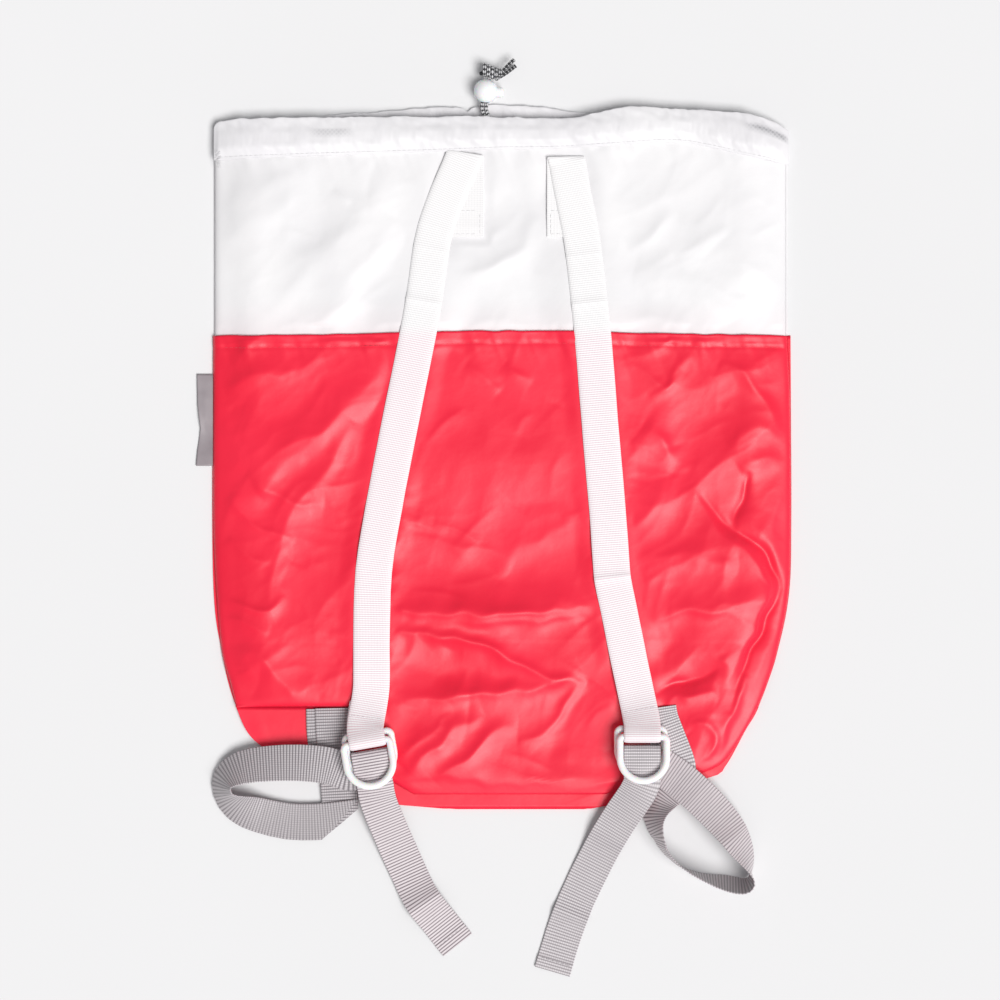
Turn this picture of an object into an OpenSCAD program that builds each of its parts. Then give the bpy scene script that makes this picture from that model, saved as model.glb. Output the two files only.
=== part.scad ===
// Drawstring carry sack lying flat, strap side up.
// X runs across the bag, Y towards its mouth and Z up.
// The origin is on the flat underside, midway between the side seams.

/* [Bag] */
// Width of the bag between its side seams
bag_w = 394; // [380:1:400]
// Height of the strap-side panels above the surface
puff_h = 11; // [11:0.5:12]
// Thickness of a fabric wall
wall = 1; // [0.8:0.1:1]
// Distance from a side seam to the flat top of the bag
shoulder = 30; // [26:1:34]

/* [Hem] */
// Width of the casing around the mouth
hem_w = 22; // [20:1:23]
// Thickness of the casing when flat
hem_h = 3.6; // [3.6:0.1:3.8]

/* [Drawcord] */
// Diameter of the cord
cord_d = 2.5; // [2.3:0.1:2.5]
// Diameter of the ball of the cord lock
ball_d = 16.4; // [16:0.1:16.6]
// Distance the lock button travels
button_travel = 2; // [1:0.1:2]

/* [Webbing] */
// Width of the webbing
web_w = 25; // [24:0.5:25.4]
// Thickness of the webbing
web_t = 1.4; // [1.2:0.1:1.4]

/* [Rings] */
// Diameter of the rod that a D-ring is made of
rod_d = 4.8; // [4.5:0.1:4.8]
// Radius of the bow, measured to the middle of the rod
bow_r = 15.9; // [15.8:0.1:16.2]
// Length of the straight legs between bar and bow
leg = 13.9; // [13.5:0.1:14]
// Angle at which a front ring rests on the rear one
ring_rest = 6; // [6:0.5:8]

/* [Hidden] */
$fn = 48;

white = [0.95, 0.94, 0.96];
red = [0.93, 0.17, 0.25];
grey = [0.66, 0.63, 0.65];
thread = [0.9, 0.88, 0.9];

gap = 0.3;              // air left between pieces that move
seam_y = 87;            // upper edge of the red panels
lap = 9;                // how far the red panels overlap the white ones
hem_y = 214.5;          // lower edge of the casing
base_h = 2.6;           // top of the folded base panel
low_h = 9.6;            // top of the bag under the rings
back_hem_z = hem_h / 2 + 0.05;
front_hem_z = 10;       // middle of the front casing over the flat top of the bag
front_hem_end_z = 5.5;  // middle of the front casing at the side seams
cord_y = 226;           // line of the cord inside the casing
exit_x = -9;            // buttonhole that both cord ends leave by

// Ring pairs: the middle and turn of each pair. The webbing and rings of a pair are drawn about
// its middle with their bars along X. A front ring lies on its rear one.
left_pair = [-88.9, -203.5, 10];
right_pair = [96.2, -200, 0];
rear_bar = [17.8, 15.4];
front_bar = [12.6, 20.7];
ring_shift = 0.7;       // how far each ring lies off the middle of its strap

// Cord lock: the middle of the ball and the turn of its cord hole from +Y
ball_at = [-10.4, 254.1, ball_d / 2];
ball_turn = -6;
strand_off = 1.4;       // half the distance between the two cords in the lock
bore_r = 1.6;           // half height of the cord slots in ball and button
button_r = 3.7;

// Outline of the bag's lower corners and bottom, left to right
bottom_line = [
    [-182, -168], [-166, -194], [-120, -215], [-77, -234], [0, -238.5],
    [68, -237], [142, -217], [154, -209], [168, -184], [177, -168]
];
// Side outline of the lower back panel above those corners
left_side = [[-198, -75], [-192, -130]];
right_side = [[190, -130], [198, -90], [199.5, -40]];

// Rows of the strap-side lower panel: y, left edge, right edge, rim height, top height
lower_rows = [
    [seam_y, -198, 197, 1.05, puff_h], [40, -198, 199, 1.05, puff_h],
    [-40, -198, 199.5, 1.05, puff_h], [-90, -196, 198, 1.05, puff_h],
    [-130, -192, 190, 1.05, puff_h], [-152, -186, 183, base_h + 0.1, low_h],
    [-167, -182, 177, base_h + 0.1, low_h], [-168, -101, 176.5, base_h + 0.1, low_h],
    [-184, -100, 168, base_h + 0.1, low_h], [-198, -98, 159, base_h + 0.1, low_h],
    [-208, -92, 150, base_h + 0.1, low_h], [-215, -82, 132, base_h + 0.1, 8.6],
    [-221, -72, 94, base_h + 0.1, 7.2], [-228, -60, 72, base_h + 0.1, 4.6]
];

// Routes of the webbing. Each stop is x, y, z, the heading of the webbing's width seen from
// above, the tilt of that width, and how far its edges sink below its middle.
left_strap_top = [
    [-24.5, 154, 10.7, 0, 0, 0], [-24.5, 180, 10.7, 0, 0, 0], [-24.5, 204, 10.7, 0, 0, 0],
    [-24.5, 209.5, 10.8, -6, 0, 0], [-24.5, 211.6, 12, -12, 0, 0],
    [-25.2, 209.5, 13.2, -20, 0, 0], [-29, 200, 13, -24, 0, 0], [-40, 174, 12.7, -24, 0, 0],
    [-47, 150, 12.6, -16, 0, 0], [-52, 115, 12.2, -12, 0, 0], [-57.5, 84, 12.2, -12, 0, 0],
    [-70, 22, 12, -10, 0, 0], [-80.5, -33, 12, -9, 0, 0], [-87, -74, 12, -4, 0, 0],
    [-88.5, -115, 12, 0, 0, 0], [-88.5, -145, 12, -2, 0, 0], [-88.9, -156, 12, -5, 0, 0],
    [-90.3, -166, 13.1, -8, 0, 0], [-91.8, -174.2, 15.4, -6, 0, 0]
];
left_strap_end = [
    [-92.8, -181.4, 13.9, 5, 0, 0], [-92.8, -177.8, 14.2, 0, 0, 0],
    [-92.3, -173.5, 12.9, -5, 0, 0], [-91.6, -169, 11.7, -8, 0, 0], [-91, -165.5, 11.1, -8, 0, 0]
];
right_strap_top = [
    [44, 154, 10.7, 0, 0, 0], [44, 180, 10.7, 0, 0, 0], [44, 203, 10.7, 0, 0, 0],
    [44, 207, 10.8, 2, 0, 0], [44.3, 208.6, 12, 5, 0, 0],
    [45, 206.5, 13.2, 9, 0, 0], [49, 185, 13, 10, 0, 0], [54, 160, 12.7, 9, 0, 0],
    [57, 140, 12.5, 8, 0, 0], [63, 84, 12.2, 7, 0, 0], [68, 22, 12, 6, 0, 0],
    [72.8, -33, 12, 4, 0, 0], [75.4, -70, 12, 4, 0, 0], [76.6, -82, 12, 8, 0, 0],
    [80.6, -101, 12, 11, 0, 0], [87.4, -135, 12, 11, 0, 0], [90.6, -150, 12, 11, 0, 0],
    [92.7, -160, 12.7, 11, 0, 0], [94.6, -169, 14.9, 9, 0, 0]
];
right_strap_end = [
    [96, -177.4, 14.2, 5, 0, 0], [95.4, -174, 14.7, 9, 0, 0], [94.6, -169.5, 13, 10, 0, 0],
    [93.7, -165, 11.7, 11, 0, 0], [92.9, -161, 11.1, 11, 0, 0]
];
left_loop = [
    [-115, -168.8, 4, 180, 0, 0], [-114.5, -185, 4.4, 180, 0, 0], [-112.5, -203, 5, 180, 0, 0],
    [-111, -219, 6.5, 178, 4, 0], [-111, -230, 9.5, 165, 16, 0], [-115, -238.5, 11.5, 135, 38, 0],
    [-127, -244, 8.4, 105, 32, 0], [-145, -246, 3.6, 92, 8, 0], [-165, -242.5, 4.2, 84, 12, 0],
    [-180, -237, 8.2, 62, 34, 0], [-190, -228, 11.8, 12, 55, 0], [-190, -217, 12.5, -35, 50, 0],
    [-178, -209, 13, -76, 30, 0], [-158, -206, 13.5, -88, 18, 0], [-138, -205.5, 13.6, -90, 10, 0],
    [-121, -207, 13, -92, 4, 0], [-112, -209.4, 12.4, -94, 2, 0], [-105, -212, 12, -95, 0, 0],
    [-97.4, -211.6, 12, -60, 0, 0], [-91.8, -208.4, 12, -25, 0, 0], [-89.2, -203.4, 12, 2, 0, 0]
];
right_loop = [
    [107.5, -168, 10.4, -180, 0, 0], [109, -176, 10.4, -174, 0, 0], [114, -189, 10.4, -162, 0, 0],
    [119, -202, 10.5, -162, 0, 0], [121, -212, 10.4, -182, 0, 0], [117, -220.5, 10.3, -205, -2, 0],
    [110, -229, 10, -205, -20, 0], [106, -238, 11, -190, -45, 0], [105.5, -249, 12.4, -168, -66, 0],
    [110, -263, 13, -145, -80, 0], [121, -275.5, 13, -124, -86, 0], [138, -284, 13, -104, -95, 0],
    [154, -288, 12.6, -90, -110, 0], [165.5, -290, 12.6, -70, -110, 0],
    [171, -287, 13, -25, -100, 0], [171, -279, 13.2, 5, -80, 0], [167, -268, 13.8, 22, -56, 0],
    [159, -254.5, 15.2, 32, -34, 0], [147.5, -240.5, 16, 38, -18, 0], [134, -227, 15.6, 41, -8, 0],
    [121, -216, 13.3, 42, 0, 0], [110, -208.5, 12.1, 38, 0, 0], [101, -203, 12, 18, 0, 0]
];
left_tail = [
    [0, -19, 17.1, 0, 0, 1.4], [0, -29, 13, 4, 0, 0.6], [3, -45.5, 8, 12, 0, 0.2],
    [7, -63.5, 3.5, 14, 0, 0], [11.5, -81.5, 1.6, 15, 0, 0], [16.5, -99, 0.8, 20, 0, 0],
    [25.5, -117, 0.8, 28, 0, 0], [36, -136.5, 0.8, 31, 0, 0]
];
right_tail = [
    [0, -19, 17.1, -6, 0, 1.4], [-3.6, -27, 14.3, -20, 0, 0.8], [-11.5, -39, 9.5, -27, 0, 0.3],
    [-21.5, -55, 4.5, -28, 0, 0], [-31.5, -74, 1.6, -27, 0, 0], [-44.5, -101, 0.8, -24, 0, 0],
    [-53.5, -125, 0.8, -19, 0, 0], [-61, -150, 0.8, -16, 0, 0]
];

// Free ends of the cord, from the buttonhole up to where they enter the lock
left_neck = [[-10.4, 231.6, 4.4], [-10.8, 234.2, 5.6], [-11.8, 238, 6.7], [-12.7, 240.8, 7.6]];
right_neck = [[-7.6, 231.6, 4.4], [-7.8, 234.2, 5.6], [-8.9, 238, 6.7], [-9.9, 240.8, 7.6]];
knot_at = [-6.5, 267, 8];
upper_end = [[-1, 265.4, 8], [2, 268.5, 8.4], [5.5, 272.4, 8.4], [8.9, 275.6, 7.6]];
lower_end = [[-1, 264, 6], [3, 266.5, 4.6], [6.8, 269.4, 3.6], [10, 272, 3]];

function unit(v) = v / norm(v);
function xyz(q) = [q[0], q[1], q[2]];
// A route drawn about the middle of a ring pair, put where the pair lies
function placed(route, pair) = [
    for (q = route)
        let (c = cos(pair[2]), s = sin(pair[2]))
        [pair[0] + q[0] * c - q[1] * s, pair[1] + q[0] * s + q[1] * c, q[2], q[3] + pair[2], q[4], q[5]]
];
function clamp_index(p, i) = p[max(0, min(len(p) - 1, i))];

// A point on the smooth curve through p, a fraction t of the way from stop i to the next
function curve_point(p, i, t) =
    let (a = clamp_index(p, i - 1), b = p[i], c = clamp_index(p, i + 1), d = clamp_index(p, i + 2))
    0.5 * (2 * b + (c - a) * t + (2 * a - 5 * b + 4 * c - d) * t * t
        + (3 * b - a - 3 * c + d) * t * t * t);
function smooth(p, n) = concat(
    [for (i = [0:len(p) - 2]) for (s = [0:n - 1]) curve_point(p, i, s / n)],
    [p[len(p) - 1]]);

function heading(p, i) = unit(xyz(clamp_index(p, i + 1)) - xyz(clamp_index(p, i - 1)));
function width_dir(q) = [cos(q[3]) * cos(q[4]), sin(q[3]) * cos(q[4]), sin(q[4])];

// Closed skin through a list of rings. Each ring runs clockwise seen from beyond the last one,
// over its upper side and back along its lower side.
module loft(rings) {
    n = len(rings[0]);
    m = len(rings);
    sides = [
        for (i = [0:m - 2]) for (j = [0:n - 1])
            let (k = (j + 1) % n)
            each [[i * n + j, i * n + k, (i + 1) * n + k], [i * n + j, (i + 1) * n + k, (i + 1) * n + j]]
    ];
    caps = [
        for (e = [0, m - 1]) for (j = [0:n / 2 - 2])
            let (a = e * n + j, b = a + 1, c = e * n + n - 2 - j, d = c + 1)
            each (e > 0 ? [[a, b, c], [a, c, d]] : [[c, b, a], [d, c, a]])
    ];
    polyhedron(points = [for (r = rings) each r], faces = concat(sides, caps), convexity = 8);
}

// Band of webbing along a route
function band_ring(p, i) =
    let (
        q = p[i], t = heading(p, i), w0 = width_dir(q), w = unit(w0 - (w0 * t) * t), n = cross(t, w),
        across = [-1:0.5:1]
    )
    concat(
        [for (v = across) xyz(q) + web_w / 2 * v * w + (web_t / 2 - q[5] * v * v) * n],
        [for (v = across) xyz(q) - web_w / 2 * v * w + (-web_t / 2 - q[5] * v * v) * n]);
module band(route, n) {
    p = smooth(route, n);
    loft([for (i = [0:len(p) - 1]) band_ring(p, i)]);
}

// Round cord along a route
function cord_ring(p, i, sides) =
    let (t = heading(p, i), w = unit(cross(abs(t[2]) > 0.9 ? [1, 0, 0] : [0, 0, 1], t)), n = cross(t, w))
    [for (j = [0:sides - 1])
        let (a = 180 - 360 * (j + 0.5) / sides)
        p[i] + cord_d / 2 * (cos(a) * w + sin(a) * n)];
module cord(points, sides = 8) {
    loft([for (i = [0:len(points) - 1]) cord_ring(points, i, sides)]);
}

// Half profile of a puffed panel: up from its rim, over its shoulder, across and down again
function puff_line(xl, xr, z0, z1, inset) =
    let (r = min(shoulder, (xr - xl) / 3) - inset)
    concat(
        [for (a = [0:15:90]) [xl + inset + r * (1 - cos(a)), z0 + (z1 - inset - z0) * sin(a)]],
        [for (a = [90:-15:0]) [xr - inset - r * (1 - cos(a)), z0 + (z1 - inset - z0) * sin(a)]]);
function reversed(p) = [for (i = [len(p) - 1:-1:0]) p[i]];
function puff_ring(row, thick) = concat(
    puff_line(row[1], row[2], row[3], row[4], 0),
    reversed(puff_line(row[1], row[2], row[3], row[4], thick)));

module upper_front_panel() {
    color(white)
        translate([0, hem_y, 0])
            rotate([90, 0, 0])
                linear_extrude(hem_y - seam_y + lap)
                    polygon(puff_ring([0, -bag_w / 2, bag_w / 2 - wall, 1.05, puff_h - wall - 0.1], wall));
}

module upper_back_panel() {
    color(white)
        translate([-bag_w / 2, seam_y, 0])
            cube([bag_w, hem_y - seam_y, wall]);
}

module lower_front_panel() {
    color(red)
        loft([for (row = lower_rows) [for (p = puff_ring(row, wall)) [p[0], row[0], p[1]]]]);
}

module lower_back_panel() {
    color(red)
        linear_extrude(wall)
            polygon(concat([[-198, seam_y]], left_side, bottom_line, right_side, [[199, seam_y]]));
}

module base_panel() {
    color(red * 0.85)
        translate([0, 0, wall + 0.05])
            linear_extrude(base_h - wall - 0.05)
                polygon(bottom_line);
}

// Flat oval tube of the casing across the bag at x, with its middle at y and z
function hem_ring(x, y, z, half_w, half_h) = [
    for (j = [0:15])
        let (a = 180 - 360 * (j + 0.5) / 16)
        [x, y + half_w * sign(cos(a)) * sqrt(abs(cos(a))), z + half_h * sign(sin(a)) * sqrt(abs(sin(a)))]
];
function hem_rise(x) = cos(90 * max(0, (abs(x) - bag_w / 2 + shoulder) / shoulder));
function front_hem_height(x) = front_hem_end_z + (front_hem_z - front_hem_end_z) * hem_rise(x);
// The back layer shows above the front one near the middle of the mouth
function back_bow(x) = abs(x + 20) < 100 ? 4 * (1 + cos(1.8 * (x + 20))) : 0;

hem_stops = [for (i = [-12:12]) i * bag_w / 24];
hem_skin = 0.45;
module hem_tube(front, skin, reach) {
    loft([for (x = hem_stops * reach)
        let (half_w = (hem_w + (front ? 0 : back_bow(x))) / 2)
        hem_ring(x, hem_y + half_w, front ? front_hem_height(x) : back_hem_z,
            half_w - skin, hem_h / 2 - skin)]);
}

// Way for the cord from one casing into the other at a side seam
module side_passage(side) {
    translate([side * 193.4, cord_y, 3.9])
        cube([5.4, 4, 5.6], center = true);
}

module casing(front) {
    difference() {
        hem_tube(front, 0, 1);
        hem_tube(front, hem_skin, 0.992);
        side_passage(-1);
        side_passage(1);
        if (!front)
            buttonhole_cut();
    }
}

module buttonhole_cut() {
    translate([exit_x, 231, hem_h])
        cube([6, 5, 2.4], center = true);
}

module front_hem_casing() {
    color(white) casing(true);
}

module back_hem_casing() {
    color(white) casing(false);
}

module cord_buttonhole() {
    color(thread)
        translate([exit_x, 231, hem_h + 0.1])
            difference() {
                linear_extrude(0.5)
                    square([8.4, 7.4], center = true);
                translate([0, 0, -1])
                    linear_extrude(3)
                        square([6, 5], center = true);
            }
}

module side_label() {
    color(grey)
        translate([0, 0, 0.2])
            linear_extrude(0.8)
                polygon([[-198.5, 61], [-209, 60], [-208.6, 40], [-206.6, 23], [-208.8, 8],
                    [-209.6, -2], [-198.5, -3]]);
}

// The webbing goes round both bars and is sewn to itself above them
ring_loop = [
    [0, 22, 19.6, 0, 0, 0], [0, 18, 22.2, 0, 0, 0], [0, 15, 23.7, 0, 0, 0],
    [0, 12.6, 24.2, 0, 0, 0], [0, 10.6, 23.6, 0, 0, 0], [0, 9.3, 22.2, 0, 0, 0],
    [0, 9, 20.5, 0, 0, 0], [0, 9.5, 18.6, 0, 0, 0], [0, 11, 16, 0, 0, 0],
    [0, 13, 13.6, 0, 0, 0], [0, 15.4, 12.1, 0, 0, 0], [0, 18, 11.8, 0, 0, 0],
    [0, 20.6, 12.5, 0, 0, 0]
];
module left_shoulder_strap() {
    color(white) band(concat(left_strap_top, placed(ring_loop, left_pair), left_strap_end), 3);
}

module right_shoulder_strap() {
    color(white) band(concat(right_strap_top, placed(ring_loop, right_pair), right_strap_end), 3);
}

// The webbing comes up through both rings, folds and goes down over the rear bow
ring_wrap = [
    [0, 2.5, 12, 0, 0, 0], [0, 5, 12.5, 0, 0, 0], [0, 6.3, 14.2, 0, 0, 0],
    [0, 6.6, 16.5, 0, 0, 0], [0, 5.8, 19, 0, 0, 0], [0, 3.4, 20.5, 0, 0, 0.3],
    [0, -1, 20.9, 0, 0, 0.7], [0, -5.4, 21.2, 0, 0, 1], [0, -8, 21.2, 0, 0, 1.6],
    [0, -10.5, 20.8, 0, 0, 2.2], [0, -13, 20, 0, 0, 2.1], [0, -15.5, 18.9, 0, 0, 1.8]
];
module left_adjuster_strap() {
    color(grey)
        band(concat(left_loop, placed(concat(ring_wrap, left_tail), left_pair)), 2);
}

module right_adjuster_strap() {
    color(grey)
        band(concat(right_loop, placed(concat(ring_wrap, right_tail), right_pair)), 2);
}

// D-ring with its bar along X through the origin and its bow towards -Y
module d_ring() {
    corner = 3;
    side = bow_r;
    translate([-side + corner, 0, 0])
        rotate([0, 90, 0])
            cylinder(h = 2 * (side - corner), d = rod_d);
    for (s = [-1, 1]) {
        translate([s * (side - corner), -corner, 0])
            rotate([0, 0, s > 0 ? 0 : 90])
                rotate_extrude(angle = 90)
                    translate([corner, 0])
                        circle(d = rod_d);
        translate([s * side, -corner, 0])
            rotate([90, 0, 0])
                cylinder(h = leg - corner, d = rod_d);
    }
    translate([0, -leg, 0])
        rotate([0, 0, 180])
            rotate_extrude(angle = 180)
                translate([bow_r, 0])
                    circle(d = rod_d);
}

module placed_ring(pair, side, bar, angle) {
    translate([pair[0], pair[1], bar[1]])
        rotate([0, 0, pair[2]])
            translate([side * ring_shift, bar[0], 0])
                rotate([-angle, 0, 0])
                    d_ring();
}

module left_rear_ring() {
    color(white) placed_ring(left_pair, 1, rear_bar, 0);
}

module left_front_ring() {
    color(white) placed_ring(left_pair, -1, front_bar, ring_rest);
}

module right_rear_ring() {
    color(white) placed_ring(right_pair, -1, rear_bar, 0);
}

module right_front_ring() {
    color(white) placed_ring(right_pair, 1, front_bar, ring_rest);
}

// The cord bends down into the back casing at the buttonhole, lies in it as far as a side
// seam and goes on in the front one
seam_turn_x = 191;
seam_turn_r = (front_hem_height(seam_turn_x) - back_hem_z) / 2;
function exit_bend(side) = [
    [exit_x + side * strand_off, 231.6, 4.4], [exit_x + side * 1.6, 231, 3.1],
    [exit_x + side * 3.2, 230.8, 2.1]
];
function back_run(side, n) = [
    for (i = [0:n])
        let (x0 = exit_x + side * 7, x = x0 + (side * seam_turn_x - x0) * i / n)
        [x, cord_y + 0.6 * back_bow(x), back_hem_z]
];
function seam_turn(side) = [
    for (a = [-60:30:60])
        [side * (seam_turn_x + seam_turn_r * cos(a)), cord_y,
            back_hem_z + seam_turn_r * (1 + sin(a))]
];
function front_run(n) = [
    for (i = [0:n])
        let (x = seam_turn_x * (2 * i / n - 1))
        [x, cord_y, front_hem_height(x)]
];
function half_route(side) = concat(exit_bend(side), back_run(side, 10), seam_turn(side));
module drawcord() {
    color("dimgray")
        cord(concat(half_route(-1), front_run(24), reversed(half_route(1))));
}

// Straight part of a cord through the lock, from below it to the knot
function lock_run(side) = [
    for (d = [-11.6, -4, 4, 9.4])
        ball_at + [side * strand_off * cos(ball_turn) - d * sin(ball_turn),
            side * strand_off * sin(ball_turn) + d * cos(ball_turn), 0]
];
module left_neck_strand() {
    color("dimgray") cord(smooth(concat(left_neck, lock_run(-1)), 3));
}

module right_neck_strand() {
    color("dimgray") cord(smooth(concat(right_neck, lock_run(1)), 3));
}

knot_half = 7.9;
knot_r = 4.1;
module drawcord_knot() {
    color("dimgray") {
        translate(knot_at)
            rotate([0, 90, -20])
                rotate_extrude()
                    polygon(concat([[0, -knot_half]],
                        [for (a = [-75:15:75]) [knot_r * sqrt(cos(a)), knot_half * sin(a)]],
                        [[0, knot_half]]));
        cord(smooth(upper_end, 2));
        cord(smooth(lower_end, 2));
    }
}

// The lock is drawn with its cord hole along Y and its button towards +X
button_floor = -6.6;    // bottom of the button's well
button_back = -3.6;     // inner end of the button at rest
button_front = 12.2;    // outer end of the button at rest
module in_lock() {
    translate(ball_at)
        rotate([0, 0, ball_turn])
            children();
}

// Slot for the two cords, running along Y
module cord_slot(from_x, to_x, length) {
    rotate([90, 0, 0])
        linear_extrude(length, center = true) {
            translate([from_x + bore_r, -bore_r])
                square([to_x - from_x - 2 * bore_r, 2 * bore_r]);
            for (x = [from_x + bore_r, to_x - bore_r])
                translate([x, 0])
                    circle(bore_r);
        }
}

slot_half = strand_off + cord_d / 2 + gap;

// Half section of the ball with the button's well open at its far end
module hollow_ball_profile() {
    well_r = button_r + gap;
    rim = acos(2 * well_r / ball_d);
    polygon(concat(
        [[0, button_floor], [0, -ball_d / 2]],
        [for (i = [1:30])
            let (a = -90 + (rim + 90) * i / 30)
            ball_d / 2 * [cos(a), sin(a)]],
        [[well_r, button_floor]]));
}

module lock_body() {
    color(white)
        in_lock()
            difference() {
                rotate([0, 90, 0])
                    rotate_extrude()
                        hollow_ball_profile();
                cord_slot(-slot_half, slot_half, 2 * ball_d);
            }
}

module lock_button() {
    color(white)
        in_lock()
            difference() {
                union() {
                    translate([button_back, 0, 0])
                        rotate([0, 90, 0])
                            cylinder(h = button_front - button_back - 1.5, r = button_r);
                    translate([button_front - 1.5, 0, 0])
                        rotate([0, 90, 0])
                            cylinder(h = 1.5, r1 = button_r, r2 = button_r - 1.2);
                }
                cord_slot(-slot_half, slot_half + button_travel, 2 * ball_d);
            }
}

spring_r = 2.6;
spring_wire = 0.5;
module lock_spring() {
    turns = 3;
    steps = 14;
    length = button_back - button_floor - spring_wire - 0.1;
    color("silver")
        in_lock()
            loft([for (i = [0:turns * steps])
                let (
                    a = 360 * i / steps,
                    at = [button_floor + spring_wire / 2 + 0.05 + length * i / (turns * steps),
                        spring_r * cos(a), spring_r * sin(a)],
                    out = [0, cos(a), sin(a)]
                )
                [for (j = [0:7])
                    let (b = 180 - 45 * (j + 0.5))
                    at + spring_wire / 2 * (sin(b) * [1, 0, 0] + cos(b) * out)]]);
}

// Rows of thread, each a fine bar on the cloth or webbing that it is sewn through
thread_w = 0.8;
thread_h = 0.25;
module thread_row(x, y, z, length, angle = 0) {
    translate([x, y, z])
        rotate([0, 0, angle])
            translate([0, 0, thread_h / 2])
                cube([length, thread_w, thread_h], center = true);
}

module hem_stitching() {
    color(thread)
        thread_row(0, hem_y - 1, puff_h - wall - 0.1, bag_w - 2 * shoulder);
}

module panel_stitching() {
    color(red * 0.9)
        thread_row(0, seam_y - lap, puff_h, bag_w - 2 * shoulder);
}

// Box stitch on each strap's sewn-down end
module anchor_stitching() {
    anchor_top = 10.7 + web_t / 2;
    color(thread)
        for (x = [-24.5, 44]) {
            thread_row(x, 156, anchor_top, 20);
            thread_row(x, 172, anchor_top, 20);
            for (s = [-1, 1])
                thread_row(x + s * 10, 164, anchor_top, 15, 90);
        }
}

loop_slope = 22.5;      // rise of the webbing where it is sewn to itself
module loop_stitching() {
    color(thread)
        for (stop = [left_strap_top[18], right_strap_top[18]])
            translate([stop[0], stop[1], stop[2]])
                rotate([0, 0, stop[3]])
                    rotate([-loop_slope, 0, 0])
                        thread_row(0, 0, web_t / 2 + 0.25, 21);
}

module tail_stitching() {
    tail_top = 0.8 + web_t / 2;
    color(grey * 0.9) {
        thread_row(-34.5, -325.8, tail_top, 21, 39);
        thread_row(37.3, -343, tail_top, 21, -17);
    }
}

upper_front_panel();
upper_back_panel();
lower_front_panel();
lower_back_panel();
base_panel();
front_hem_casing();
back_hem_casing();
side_label();
left_shoulder_strap();
right_shoulder_strap();
left_adjuster_strap();
right_adjuster_strap();
left_rear_ring();
left_front_ring();
right_rear_ring();
right_front_ring();
drawcord();
left_neck_strand();
right_neck_strand();
drawcord_knot();
cord_buttonhole();
lock_body();
lock_button();
lock_spring();
hem_stitching();
panel_stitching();
anchor_stitching();
loop_stitching();
tail_stitching();
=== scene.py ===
# Drawstring carry sack lying flat, strap side up. Lengths are in millimetres until a piece is made.
import math

import bpy
import numpy as np
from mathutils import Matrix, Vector


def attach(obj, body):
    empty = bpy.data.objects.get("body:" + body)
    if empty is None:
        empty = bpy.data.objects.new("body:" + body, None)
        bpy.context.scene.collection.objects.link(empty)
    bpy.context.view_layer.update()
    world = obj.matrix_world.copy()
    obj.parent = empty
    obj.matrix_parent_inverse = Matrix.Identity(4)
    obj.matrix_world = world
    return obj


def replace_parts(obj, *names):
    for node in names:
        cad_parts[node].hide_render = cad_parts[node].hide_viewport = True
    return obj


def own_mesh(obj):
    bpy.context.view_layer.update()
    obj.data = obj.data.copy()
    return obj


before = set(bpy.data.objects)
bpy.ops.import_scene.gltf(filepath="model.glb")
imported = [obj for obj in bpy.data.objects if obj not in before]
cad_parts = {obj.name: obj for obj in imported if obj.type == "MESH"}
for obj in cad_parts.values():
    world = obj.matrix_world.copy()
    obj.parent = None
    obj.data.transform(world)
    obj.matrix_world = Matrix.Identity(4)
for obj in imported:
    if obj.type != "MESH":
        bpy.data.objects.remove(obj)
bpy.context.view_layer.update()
MM = 0.001
UP = np.array([0, 0, 1.0])

# ---- measures shared with the CAD
web_w, cord_d = 25.0, 2.5
half_w, white_right = 197.0, 196.0      # the mouth, and the right side of the white cloth
shoulder = 30.0                         # how far from each side the mouth slopes down
seam_y, lap = 87.0, 9.0                 # top of the red cloth, and how far the white goes below it
corner_y = -168.0                       # the lower left corner is folded in below this
front_end_y, back_end_y = -228.0, -238.5
hem_y = 214.5
hem_mid_z = 1.85                        # middle of the rear casing
front_hem_z, front_hem_end_z = 10.0, 5.5
left_pair, right_pair = (-88.9, -203.5, 10), (96.2, -200, 0)    # place and turn of the ring pairs
ball_at, ball_turn = np.array([-10.4, 254.1, 8.2]), -6
strand_off = 1.4
sewn_low, sewn_high = 156.0, 172.0      # box of stitches on the sewn ends of the white straps
sewn_x = (-24.5, 44.0)

# ---- measures of the visual model
web_t, cloth_t = 1.0, 0.4
half_web = web_w / 2
white_pitch, grey_pitch = 1.5, 2.0      # ribs of the webbing
topstitch_y = seam_y - 8.5
sewn_z = 10.35

# ---- routes of the webbing
# A stop is its x, y and z, the heading and tilt of the tape's width in degrees, and how far the
# tape's middle stands over its edges. Last numbers that are left out are 0.
left_strap_top = [
    (-24.5, 154, 10.7), (-24.5, 180, 10.7), (-24.5, 204, 10.7), (-24.5, 209.5, 10.8, -6),
    (-24.5, 211.6, 12, -12), (-25.2, 209.5, 13.2, -20), (-29, 200, 13, -24), (-40, 174, 12.7, -24),
    (-47, 150, 12.6, -16), (-52, 115, 12.2, -12), (-57.5, 84, 12.2, -12), (-70, 22, 12, -10),
    (-80.5, -33, 12, -9), (-87, -74, 12, -4), (-88.5, -115, 12), (-88.5, -145, 12, -2),
    (-88.9, -156, 12, -5), (-90.3, -166, 13.1, -8), (-91.8, -174.2, 15.4, -6),
]
left_strap_end = [
    (-92.8, -181.4, 13.9, 5), (-92.8, -177.8, 14.2), (-92.3, -173.5, 12.9, -5),
    (-91.6, -169, 11.7, -8), (-91, -165.5, 11.1, -8),
]
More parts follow.
